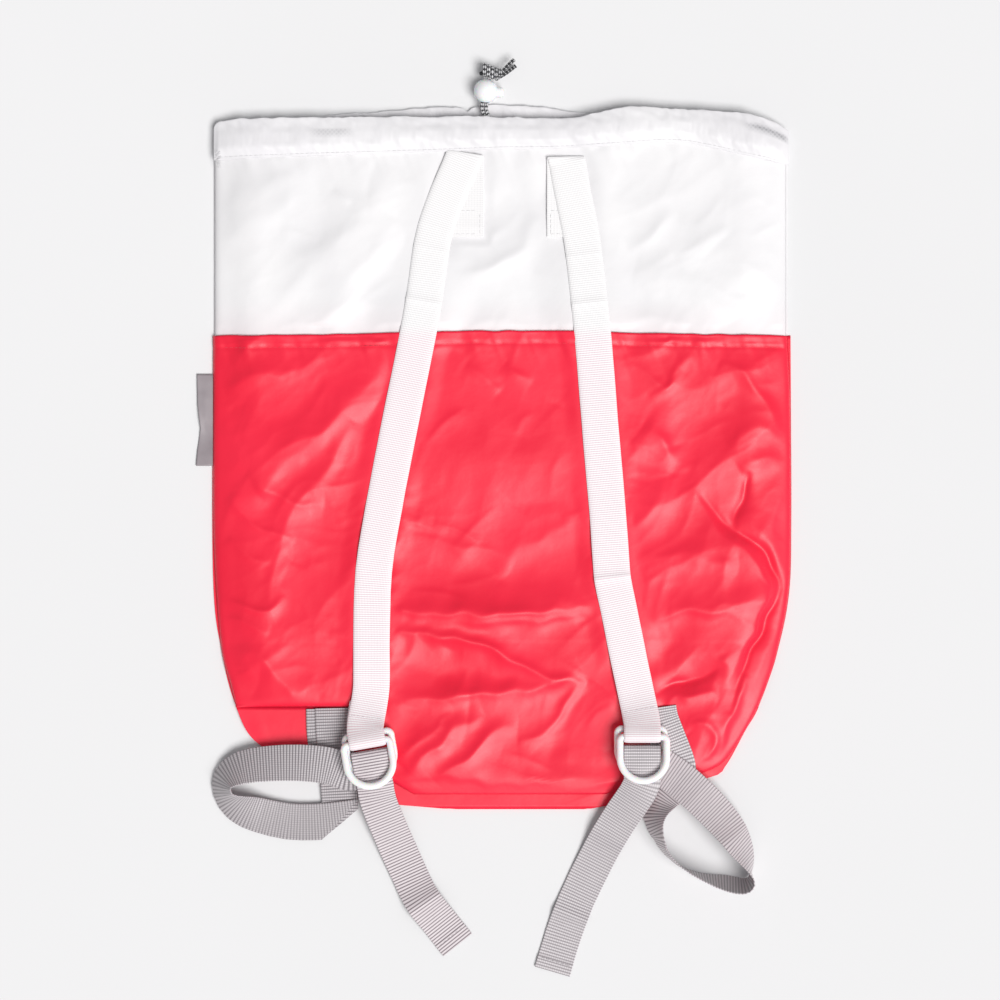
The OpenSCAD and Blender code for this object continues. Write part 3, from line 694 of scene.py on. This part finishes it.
def under_straps(x, y, z):
    """Keeps the cloth close below the webbing that lies on it."""
    best = np.full(x.shape, 1e9)
    limit = np.zeros(x.shape)
    for px, py, low in presses:
        d = np.hypot(x - px, y - py)
        limit = np.where(d < best, low, limit)
        best = np.minimum(best, d)
    w = 1 - ease((best - half_web - 1) / 8)
    upper = ease((y - 70) / 30)
    gap = np.minimum(np.maximum(0, limit + 0.2 - z), 1.2 + 3.0 * upper)
    raised = gap * (1 - ease((best - half_web) / (12 + 14 * upper))) * ease((y + 150) / 25)
    z = z - w * np.maximum(0, z - limit)
    for cx, low, high in zip(sewn_x, (153, 153), (211, 208)):
        off = np.maximum(abs(x - cx) - half_web - 0.3, np.maximum(low - y, y - high))
        z = np.minimum(z, 9.15 + 6 * ease(off / 20))
        raised = raised * ease(off / 16)
    return z + raised


# Edges of the cloth as (y, x), and the height of the bag's upper side as (y, z)
lower_left = [(87, -198), (40, -198), (-40, -198), (-90, -196), (-130, -192), (-152, -186),
              (-168, -182)]
step_left = [(-168, -101), (-184, -100), (-198, -98), (-208, -92), (-215, -82), (-221, -72),
             (-228, -60)]
lower_right = [(87, 197), (40, 199), (-40, 199.5), (-90, 198), (-130, 190), (-152, 183),
               (-168, 176.5), (-184, 168), (-198, 159), (-208, 150), (-215, 132), (-221, 94),
               (-228, 72)]
back_left = [(87, -198), (-75, -198), (-130, -192), (-168, -182), (-194, -166), (-215, -120),
             (-234, -77), (-238.5, -30)]
back_right = [(87, 199), (-40, 199.5), (-90, 198), (-130, 190), (-168, 177), (-184, 168),
              (-209, 154), (-217, 142), (-237, 68), (-238.5, 30)]
top_heights = [(87, 11), (-100, 11), (-125, 10.8), (-150, 10), (-180, 9.6), (-203, 9.2),
               (-214, 8.2), (-222, 6.6), (-228, 4.6)]


def edge_at(table, y):
    """Value of a (y, value) table at y, smoothly."""
    t = smooth(table[::-1], 8)
    return np.interp(y, t[:, 0], t[:, 1])


def rounded(d, r):
    """Quarter ellipse: 0 at the edge, 1 at r and beyond."""
    t = np.clip(d / r, 0, 1)
    return np.sqrt(np.maximum(0, 1 - (1 - t) ** 2))


def side_rise(d):
    """Share of its full height that the bag has at a distance from its side edge."""
    return 0.24 * rounded(d, 5.0) + 0.76 * np.sin(np.clip(d / 34, 0, 1) * math.pi / 2)


def red_height(x, y):
    """Height of the red strap-side cloth."""
    left = np.where(y > corner_y, edge_at(lower_left, np.maximum(y, corner_y)), -1e3)
    right = edge_at(lower_right, y)
    rim = 0.9 + 1.8 * ease((-110 - y) / 60)
    top = edge_at(top_heights, y)
    inset = np.minimum(x - left, right - x)
    step_x = edge_at(step_left, np.minimum(y, corner_y))
    d = np.hypot(np.maximum(0, x - step_x), np.maximum(0, y - corner_y))
    step = 0.35 + 0.65 * rounded(d, 12)
    h = rim + (top - rim) * side_rise(inset) * step
    inner = ease(inset / 16) * ease((d - 1) / 10)
    low = ease((y + 229) / 22)
    return np.maximum(under_straps(x, y, h + (folds(x, y) - 1.2) * inner * low), 2.2 * inner + 0.8)


def pucker(x, y, line_y, size, reach, seed):
    """Small gathers that a row of stitches pulls into the cloth."""
    away = abs(y - line_y)
    slant = x + 0.35 * (y - line_y)
    wave = ripple(slant, 6.5, seed) + 0.6 * ripple(slant, 3.1, seed + 1)
    return size * wave * np.exp(-away / reach) - 0.4 * np.exp(-(away / 0.9) ** 2)


def red_edge(x):
    """How far the red cloth's folded upper edge strays from straight."""
    return 3.2 * np.exp(-((x - 10) / 110.0) ** 2) + 0.4 * ripple(x, 9.0, 23) - 0.4


def red_surface(x, y):
    """Red cloth with the gathers of its topstitching."""
    line = red_edge(x) + topstitch_y
    z = red_height(x, y) + pucker(x, y, line, 0.5, 8, 21) * ease((y - 40) / 30)
    return z + 0.3 * ease((y - line) / 3)


def lower_front():
    """Red strap-side cloth, folded in at its lower left over the base."""
    cols, fold_x = 300, -101.0
    rows_up = np.linspace(seam_y, corner_y, 190)
    left, right = edge_at(lower_left, rows_up), edge_at(lower_right, rows_up)
    x_up = left[:, None] + (right - left)[:, None] * np.linspace(0, 1, cols)
    k = int(np.searchsorted(x_up[-1], fold_x))
    x_up[-1, k] = fold_x
    share = (x_up[-1, k:] - x_up[-1, k]) / (x_up[-1, -1] - x_up[-1, k])
    xs, ys, first = list(x_up), [np.full(cols, y) for y in rows_up], [0] * len(rows_up)
    for y in np.linspace(corner_y, front_end_y, 46)[1:]:
        a, b = float(edge_at(step_left, y)), float(edge_at(lower_right, y))
        xs.append(a + (b - a) * share)
        ys.append(np.full(cols - k, y))
        first.append(k)
    x, y = np.concatenate(xs), np.concatenate(ys)
    y = y + red_edge(x) * ease((y - 30) / 50)
    shape = laid(x, y, red_surface(x, y), grid_faces(first, cols))
    show("red_front_cloth", "lower_front_panel", shape, red_nylon, thickness=cloth_t)


# Edges of the mouth as (x, y)
front_top = [(-197, 229.5), (-190, 234.3), (-150, 235.6), (-103, 236.3), (-9, 236.3), (40, 235),
             (62, 238.5), (85, 243.2), (123, 241.8), (164, 239), (181, 235.6), (197, 227.5)]
front_low = [(-197, 208.6), (-150, 210.5), (-103, 212), (-40, 214), (0, 215.5), (40, 216),
             (85, 219), (123, 220.4), (164, 212.5), (197, 205)]
back_top = [(-197, 228.5), (-150, 233), (-108, 239), (-70, 241.5), (-45, 244), (-28, 243.2), (-23, 240.6),
            (-18, 243.6), (0, 245.2), (25, 244), (60, 239.5), (100, 239), (150, 235), (197, 227)]


def table_x(table, x):
    """Value of an (x, value) table at x, smoothly."""
    t = smooth(table, 10)
    return np.interp(x, t[:, 0], t[:, 1])


def white_height(x, y):
    """Height of the white strap-side cloth."""
    inset = np.minimum(x + half_w, white_right - x)
    return under_straps(x, y, 0.9 + 9.0 * side_rise(inset) + (folds(x, y) - 1.3) * ease(inset / 16))


def upper_front():
    """White strap-side cloth, from inside the casing down to behind the red cloth."""
    rows, cols = 84, 240
    xs = np.linspace(-half_w, white_right, cols)
    top = table_x(front_low, xs) + 4
    x = np.repeat(xs[None, :], rows, 0).ravel()
    y = (top + (seam_y - lap - top) * np.linspace(0, 1, rows)[:, None]).ravel()
    sewn = table_x(front_low, x)
    z = white_height(x, y) + pucker(x, y, sewn + 1, 0.6, 9, 31) * ease((y - 150) / 30)
    z = np.minimum(z, 9.9 + 20 * ease((sewn - y - 1) / 12))
    z = np.minimum(z, red_surface(x, np.minimum(y, seam_y)) - 1.3 + 20 * ease((y - 92) / 14))
    shape = laid(x, y, z, grid_faces([0] * rows, cols))
    show("white_front_cloth", "upper_front_panel", shape, white_nylon,
         thickness=cloth_t)


def flat_cloth(name, node, y_top, y_end, left, right, z0, size, seed, material):
    """Cloth that lies on the surface or on another layer, with shallow creases."""
    step = 2.6
    rows, cols = int((y_top - y_end) / step) + 2, int(396 / step)
    ys = np.linspace(y_top, y_end, rows)
    turn = np.cos(np.linspace(0, math.pi, cols))
    s = 0.5 - 0.5 * turn * np.abs(turn) ** -0.35
    s = (s - s[0]) / (s[-1] - s[0])
    xl, xr = edge_at(left, ys)[:, None], edge_at(right, ys)[:, None]
    x = xl + (xr - xl) * s
    y = np.repeat(ys[:, None], cols, 1)
    edge = np.minimum(np.minimum(x - xl, xr - x), y - y_end)
    h = crumple(x, y, 150, (-195, y_end, 195, y_top), 1.0, seed)
    z = z0 + size * np.clip(h + 0.5, 0, 2.2) * ease(edge / 14)
    shape = laid(x, y, z, grid_faces([0] * rows, cols))
    show(name, node, shape, material, thickness=cloth_t)


# ---- casings of the mouth
def hem_height(x):
    """Height of the front casing's middle."""
    rise = np.cos(np.radians(90 * np.clip((abs(x) - half_w + shoulder) / shoulder, 0, 1)))
    return front_hem_end_z + (front_hem_z - front_hem_end_z) * rise


def front_cord_y(x):
    low, top = table_x(front_low, x), table_x(front_top, x)
    return low + (0.58 + 0.12 * ease((x - 120) / 50)) * (top - low)


def back_cord_y(x):
    return 226 + 2.4 * np.where(abs(x + 20) < 100, 1 + np.cos(np.radians(1.8 * (x + 20))), 0)


def casing_top(x, y, sew_y, cord_line, seed, gather):
    """How far the upper side of a casing lies above its middle."""
    up = y - sew_y
    slant = x + 0.9 * up
    wave = (ripple(slant, 9.0, seed) + 0.7 * ripple(slant, 4.6, seed + 1)
            + 0.3 * ripple(slant, 2.4, seed + 2))
    peak = 6.5 + 1.5 * ripple(x, 22.0, seed + 3)
    belly = 2.0 * np.where(up < peak, np.sin(np.clip(up / peak, 0, 1) * math.pi / 2) ** 1.3,
                           np.exp(-((up - peak) / 13.0) ** 2))
    cord = 0.35 * np.exp(-((y - cord_line) / 2.0) ** 2)
    creases = 1.3 * lattice(slant, y * 0.7, 11, seed) + 0.8 * lattice(slant, y * 0.7, 5.5, seed + 1)
    creases += 0.4 * lattice(slant, y * 0.8, 2.8, seed + 2)
    fade = 0.8 * np.exp(-((y - cord_line) / 1.8) ** 2) + 0.6 * np.exp(-(up / 5) ** 2)
    gathers = gather * wave * np.exp(-abs(up) / 7.0)
    return 0.5 + belly + cord + gathers + creases * (1 - np.minimum(fade, 1))


front_gathers, back_gathers = (51, 0.12), (61, 0.4)     # seed and size


def hem_surface(x, y):
    """Upper side of the front casing."""
    return hem_height(x) + casing_top(x, y, table_x(front_low, x), front_cord_y(x), *front_gathers)


def cord_showing(x, front):
    """How much of the cord shows through the cloth of the casing."""
    if not front:
        return np.zeros(x.shape)
    right = ease((x - 163) / 14) * ease((199 - x) / 6)
    left = 0.5 * ease((x + 134) / 12) * ease((-98 - x) / 12)
    return right + left


def casing(name, node, low, top, middle, cord_line, gathers, front):
    """Folded and sewn tube of cloth around the cord. It is sewn along the line called low."""
    xs = np.linspace(-half_w, half_w, 640)
    sides = 40
    seed = gathers[0]
    sew = table_x(low, xs)
    y0 = sew - 1.6 + 0.25 * ripple(xs, 6.0, seed + 7)
    y1 = table_x(top, xs) + 0.45 * ripple(xs, 7.0, seed + 8) + 0.25 * ripple(xs, 3.0, seed + 9)
    cord_at = cord_line(xs)
    end = ease((half_w - abs(xs)) / 4)
    lines, coords = [], []
    for k in range(sides):
        a = 2 * math.pi * (k + 0.5) / sides
        c, t = math.cos(a), math.sin(a)
        y = (y0 + y1) / 2 + (y1 - y0) / 2 * np.sign(c) * abs(c) ** 0.8
        rise = casing_top(xs, y, sew, cord_at, *gathers) if t > 0 else 1.1
        z = middle(xs) + np.sign(t) * abs(t) ** 0.5 * rise * (0.35 + 0.65 * end)
        shows = cord_showing(xs, front) * np.exp(-((y - cord_at) / 2.0) ** 4)
        lines.append(np.c_[xs, y, z])
        coords.append(np.c_[y * MM, xs * MM, shows])
    show(name, node, skin(lines, coords), casing_nylon)


def held_cord():
    """The cord inside both casings, with both ends leaving by the buttonhole."""
    exit_x, turn_x = -9.0, 191.0
    turn_r = (float(hem_height(turn_x)) - hem_mid_z) / 2

    def half(side):
        points = [(exit_x + side * 1.4, 231.6, 4.4), (exit_x + side * 1.6, 231, 3.1),
                  (exit_x + side * 3.2, 230.8, 2.1)]
        for x in np.linspace(exit_x + side * 7, side * turn_x, 14):
            points.append((x, float(back_cord_y(x)), hem_mid_z))
        for degrees in (-60, -30, 0, 30, 60):
            c, s, _ = facing(degrees)
            points.append((side * (turn_x + turn_r * c), float(front_cord_y(side * turn_x)),
                           hem_mid_z + turn_r * (1 + s)))
        return points

    xs = np.linspace(-turn_x, turn_x, 30)
    front = [(x, float(front_cord_y(x)), float(hem_height(x))) for x in xs]
    line = smooth(half(-1) + front + half(1)[::-1], 4)
    show("held_cord", "drawcord", tube(line, cord_d / 2 - 0.05, 12), braid)


# ---- webbing
def evened(values, s, reach):
    """Rows of values averaged over a length of the route."""
    step = s[1] - s[0]
    half = max(1, int(2 * reach / step))
    weights = np.exp(-0.5 * (np.arange(-half, half + 1) * step / reach) ** 2)
    weights /= weights.sum()
    padded = np.vstack([np.repeat(values[:1], half, 0), values, np.repeat(values[-1:], half, 0)])
    return np.stack([np.convolve(padded[:, k], weights, "valid") for k in range(values.shape[1])], 1)


def red_bounce_on_webbing(place, sign):
    """Where white webbing takes its painted pink reflection of light bounced off the red cloth it lies
    over.
    """
    return ease((95 - place[:, 1]) / 12)


def wrong_side(place, sign):
    return np.full(len(place), 1.0 if sign < 0 else 0.0)


def right_side(place, sign):
    """The strap turns over once, under the crossing, so its sewn end shows its wrong side."""
    sewn = ease((place[:, 1] + 214) / 3) * (place[:, 2] < 11.6)
    return np.full(len(place), 1.0) if sign > 0 else sewn


def tape(route, n, pitch, rib, other, lift=0.0, seed=1, kinks=(), slants=(0, 0), hem=0.0,
         soft=False):
    """Ribbed tape along a route, in n steps from stop to stop. pitch and rib are the length and
    depth of its ribs, and lift is how high its free part waves. other says where the second
    pair of colours shows. Each kink is a y where the tape buckles across, how far it rises and
    over what length. slants are the slopes of its cut or folded ends, and hem is how much a
    turned-in end raises its face. A soft tape thins out towards its edges on its right side."""
    line, s = resample(smooth(stops(route), n), pitch / 4)
    p = line[:, :3].copy()
    for at_y, rise, length in kinks:
        p[:, 2] += rise * np.exp(-np.sqrt(((p[:, 1] - at_y) / length) ** 2 + 0.2))
    p[:, 2] += hem * ease((s - s[-1] + 9.5) / 1.2) - settled(p[:, 1], p[:, 2])
    if lift:
        free = ease((s - 60) / 20) * ease((s[-1] - 70 - s) / 20)
        p[:, 2] += lift * (0.5 + 0.5 * wander(s, 26, seed)) * free
    t = unit(np.gradient(p, axis=0))
    yaw, tilt, crown = np.radians(line[:, 3]), np.radians(line[:, 4]), line[:, 5]
    w = np.stack([np.cos(yaw) * np.cos(tilt), np.sin(yaw) * np.cos(tilt), np.sin(tilt)], 1)
    w = unit(evened(unit(w - np.sum(w * t, 1, keepdims=True) * t), s, 2.0))
    up = unit(np.cross(t, w))
    one_side = np.array([0.25, 0.5, 0.7, 0.88, 0.94, 0.985, 1])
    across = np.concatenate([-one_side[::-1], [0], one_side])
    body = np.where(abs(across) > 0.99, 0.35, np.where(abs(across) > 0.95, 0.85, 1.0))
    thinned = np.interp(abs(across), (0.7, 0.88, 0.94, 0.985, 1), (1, 0.85, 0.6, 0.3, 0.12))
    edge = half_web * (1 + 0.006 * wander(s, 14, seed + 5))
    lines, coords = [], []
    for sign in (1, -1):
        cols = across if sign > 0 else across[::-1]
        thick = 2 * thinned - 1 if soft and sign > 0 else np.ones(len(body)) if soft else body
        for v, b in zip(cols, thick):
            start, stop = [half_web * abs(q) * (1 + v * np.sign(q)) for q in slants]
            within = np.clip(s, start, s[-1] - stop)
            at = within + 1e-3 * (s - within)
            weight = 1.0 if abs(v) < 0.9 else 0.35
            wave = np.cos(2 * math.pi * at / pitch)
            off = sign * (web_t / 2 * b + rib * (wave - 1) * 0.5 * weight) - crown * v * v
            place = p + w * (edge * v)[:, None] + up * off[:, None]
            lines.append(read_off(at, s, place))
            coords.append(np.c_[at * MM, np.full(len(s), v * half_web * MM), other(place, sign)])
    return skin(lines, coords, inward=True)


def white_strap(name, node, route, seed, kinks):
    shape = tape(route, 3, white_pitch, 0.14, red_bounce_on_webbing, 0.4, seed, kinks, soft=True)
    show(name, node, shape, white_webbing)


def grey_tape(route, n, rib, other, seed, kinks=(), slants=(0, 0), hem=0.0):
    return tape(route, n, grey_pitch, rib, other, 0, seed, kinks, slants, hem)


# ---- stitching
def stitches(name, node, rows, material):
    """Rows of thread. Each row is a line of points on the cloth's surface."""
    stitch, space, radius = 2.6, 0.9, 0.15
    parts = []
    for row in rows:
        line, s = resample(np.array(row, float), 0.4)
        at = 0.3
        while at + stitch < s[-1]:
            points = read_off(np.linspace(at, at + stitch, 6), s, line)
            points[:, 2] += radius * np.array([-0.9, 0.3, 0.75, 0.75, 0.3, -0.9])
            parts.append(tube(points, radius, 5))
            at += stitch + space
    show(name, node, joined(parts), material)


def on_cloth(points, height, lift):
    """A line of (x, y) points laid on a surface."""
    x, y = resample(np.array([(*q, 0) for q in points], float), 0.8)[0].T[:2]
    return np.c_[x, y, height(x, y) + lift]


def slanted(cx, cy, angle, z):
    """Row across the webbing."""
    middle, reach = np.array([cx, cy, z]), 10.5 * facing(angle)
    return [middle - reach, middle + reach]


# ---- cord, lock and knot
def cord_piece(name, node, neck, side):
    """Free strand from the buttonhole through the lock, and its line."""
    axis = facing(ball_turn)
    run = [ball_at + side * strand_off * axis + d * np.cross(UP, axis) for d in (-11.6, -4, 4, 9.4)]
    line = smooth(neck + run, 6)
    return show(name, node, tube(line, cord_d / 2, 14), braid), line


def helix(at, axis, reach, radius, turn):
    """Line that winds round an axis: reach and turn are its places along and round it."""
    side = np.cross(UP, axis)
    return (at + axis * reach[:, None] + side * (radius * np.cos(turn))[:, None]
            + UP * (radius * np.sin(turn))[:, None])


def knot():
    """Double overhand knot of both cord ends, with the two cut tails."""
    axis = facing(-20)
    side = np.cross(UP, axis)
    parts = []
    for strand in (0, 1):
        turns = np.linspace(0, 2 * math.pi * 2.3, 90)
        reach = -6.4 + 12.8 * turns / turns[-1]
        r = 3.0 + 0.15 * np.sin(turns * 1.7 + strand)
        parts.append(tube(helix(knot_at, axis, reach, r, turns + math.pi * strand), 1.4, 12))
    core = [knot_at - axis * 5.4 + side * 0.2, knot_at, knot_at + axis * 5.4 + side * 0.2]
    parts.append(tube(smooth(core, 8), 1.7, 12))
    ends = []
    for end in cut_ends:
        line = smooth([knot_at + axis * 3.4 + (np.array(end[0]) - knot_at) * 0.35] + end, 6)
        r = np.full(len(line), 1.25)
        r[-2:] = (1.3, 1.38)
        ends.append(tube(line, r, 12))
    return (show("cord_knot", "drawcord_knot", joined(parts), braid),
            show("cord_ends", "drawcord_knot", joined(ends), braid_end))


def spring():
    """Coil spring of the button, in a mesh of its own. The real spring shortens as the button goes in;
    this one is built at rest and stays so.
    """
    axis, wire, fixed_end = facing(ball_turn), 0.5, -6.6
    turns = np.linspace(0, 2 * math.pi * 3, 120)
    start, length = fixed_end + wire / 2 + 0.05, 3.0 - wire - 0.1
    line = helix(ball_at, axis, start + length * turns / turns[-1], 2.6, turns)
    piece = show("button_spring", "lock_spring", tube(line, wire / 2, 8), steel,
                 "cord_lock")
    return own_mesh(piece)


# ---- label
def label():
    """Plain satin ribbon, sewn in at the left seam and slightly curled at its free side."""
    rows, cols = 48, 14
    outline = np.array([(-2.5, -209.6), (8, -208.8), (23, -206.6), (40, -208.6), (61, -209)])
    ys = np.linspace(60.5, -2.5, rows)
    xl = np.interp(ys, outline[:, 0], outline[:, 1])[:, None]
    t = np.linspace(0, 1, cols)
    x = xl + (-197.6 - xl) * t
    y = np.repeat(ys[:, None], cols, 1)
    z = 0.75 + (0.55 * np.sin((y - 20) / 9.0) + 0.5) * (1 - t) + 0.35 * np.sin(y / 4.3 + 1) * (1 - t) ** 2
    shape = laid(x, y, np.clip(z, 0.5, 3), grid_faces([0] * rows, cols))
    show("side_ribbon", "side_label", shape, satin, thickness=0.45)


# ---- camera, light, floor
sky_level, key_level = 0.32, 3.0
key_from = (0.42, -0.40, 0.95)
view_w, view_distance, sensor = 0.685, 2.2, 36      # the view's width at the bag, in metres


def stage():
    camera = bpy.data.cameras.new("camera")
    camera.sensor_width = sensor
    camera.lens = sensor * view_distance / view_w
    camera.clip_end = 20
    eye = linked(bpy.data.objects.new("camera", camera))
    eye.location = (-0.0007, -0.026, view_distance + 0.008)
    bpy.context.scene.camera = eye

    world = bpy.data.worlds.new("studio")
    bpy.context.scene.world = world
    world.use_nodes = True
    sky = world.node_tree.nodes["Background"].inputs
    sky[0].default_value = (0.985, 0.99, 1.0, 1)
    sky[1].default_value = sky_level

    key = bpy.data.lights.new("key", "SUN")
    key.energy = key_level
    key.angle = math.radians(34)
    key.color = (1.0, 0.99, 0.975)
    lamp = linked(bpy.data.objects.new("key", key))
    lamp.rotation_euler = Vector(key_from).to_track_quat("Z", "Y").to_euler()

    n = Nodes("floor")
    n.set(Base_Color=n.ramp(n.noise(3.0, 2.0), (0.79, 0.79, 0.803), (0.80, 0.80, 0.813)),
          Roughness=0.95, Specular_IOR_Level=0.1)
    mesh = bpy.data.meshes.new("floor")
    mesh.from_pydata([(-6, -6, 0), (6, -6, 0), (6, 6, 0), (-6, 6, 0)], [], [(0, 1, 2, 3)])
    mesh.materials.append(n.material)
    floor = linked(bpy.data.objects.new("floor", mesh))
    floor.location.z = -0.0003
    bpy.context.scene.view_settings.view_transform = "Standard"


def finish_cad_node(node, material):
    """CAD solid that is shown as it is, in a better material."""
    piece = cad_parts[node]
    piece.data.materials.clear()
    piece.data.materials.append(material)


# ---- build
stage()

left_cord, left_line = cord_piece("left_neck_cord", "left_neck_strand", left_neck, -1)
right_cord, right_line = cord_piece("right_neck_cord", "right_neck_strand", right_neck, 1)
knot_pieces = knot()
spring_piece = spring()

lower_front()
upper_front()
flat_cloth("red_back_cloth", "lower_back_panel", seam_y, back_end_y, back_left, back_right, 0.45, 0.5,
           41, red_nylon)
flat_cloth("white_back_cloth", "upper_back_panel", hem_y + 1, seam_y,
           [(hem_y + 1, -half_w), (seam_y, -half_w)], [(hem_y + 1, half_w), (seam_y, half_w)],
           0.45, 0.5, 42, white_nylon)
flat_cloth("red_base_cloth", "base_panel", corner_y, -238, back_left, back_right, 2.0, 0.55, 43,
           red_nylon)
casing("front_casing_cloth", "front_hem_casing", front_low, front_top, hem_height, front_cord_y,
       front_gathers, True)
casing("back_casing_cloth", "back_hem_casing", [(-197, 209), (0, 215), (197, 206)], back_top,
       lambda x: np.full(x.shape, hem_mid_z), back_cord_y, back_gathers, False)
held_cord()

white_strap("left_white_strap", "left_shoulder_strap",
            left_strap_top + placed(ring_loop, left_pair) + left_strap_end, 71,
            [(110, 1.0, 2.5), (146, 0.8, 2.0), (161, 0.6, 2.0)])
white_strap("right_white_strap", "right_shoulder_strap",
            right_strap_top + placed(ring_loop, right_pair) + right_strap_end, 81,
            [(-79, 1.6, 2.0), (109, 1.0, 2.5), (142, 0.7, 2.0)])
left_band = left_turn + left_loop + placed(ring_wrap + left_tail, left_pair)
left_tapes = [grey_tape(left_tab, 3, 0.2, wrong_side, 90, slants=(0, -0.8)),
              grey_tape(left_under_tab, 3, 0.2, wrong_side, 92),
              grey_tape(left_band, 2, 0.22, wrong_side, 91, [(-303, 9.0, 7.0)], (-1.1, 0), 0.5)]
show("left_grey_strap", "left_adjuster_strap", joined(left_tapes), shaded_webbing)
right_band = right_loop + placed(ring_wrap + right_tail, right_pair)
show("right_grey_strap", "right_adjuster_strap",
     grey_tape(right_band, 2, 0.22, right_side, 95, [(-256, 3.5, 7.0), (-311, 3.0, 4.0)], hem=0.5),
     grey_webbing)

for node in ("left_rear_ring", "left_front_ring", "right_rear_ring", "right_front_ring",
             "lock_body", "lock_button"):
    finish_cad_node(node, white_plastic)
finish_cad_node("cord_buttonhole", pale_thread)

label()

hem_row = [(x, float(table_x(front_low, x))) for x in np.linspace(-193, 194, 90)]
bar = [(-196.2 + 4.6 * (k % 2), 213.2 - 0.75 * k) for k in range(17)]
stitches("hem_stitch_rows", "hem_stitching",
         [on_cloth(hem_row, hem_surface, 0.12), on_cloth(bar, hem_surface, 0.35)],
         pale_thread)
panel_row = [(x, topstitch_y + float(red_edge(x))) for x in np.linspace(-190, 190, 80)]
stitches("panel_stitch_rows", "panel_stitching", [on_cloth(panel_row, red_surface, 0.1)],
         red_thread)
box_rows = []
for cx in sewn_x:
    low, high = cx - 10, cx + 10
    box_rows += [[(low, y, sewn_z), (high, y, sewn_z)] for y in (sewn_low, sewn_high)]
    box_rows += [[(x, sewn_low, sewn_z), (x, sewn_high, sewn_z)] for x in (low, high)]
stitches("anchor_stitch_rows", "anchor_stitching", box_rows, pale_thread)
stitches("loop_stitch_rows", "loop_stitching",
         [slanted(-91.8, -174.2, -6, 16.0), slanted(94.6, -169, 10, 15.5)],
         pale_thread)
stitches("tail_stitch_rows", "tail_stitching",
         [slanted(-34.5, -325.8, 40, 1.9), slanted(37.3, -343, -17, 1.9)],
         grey_thread)
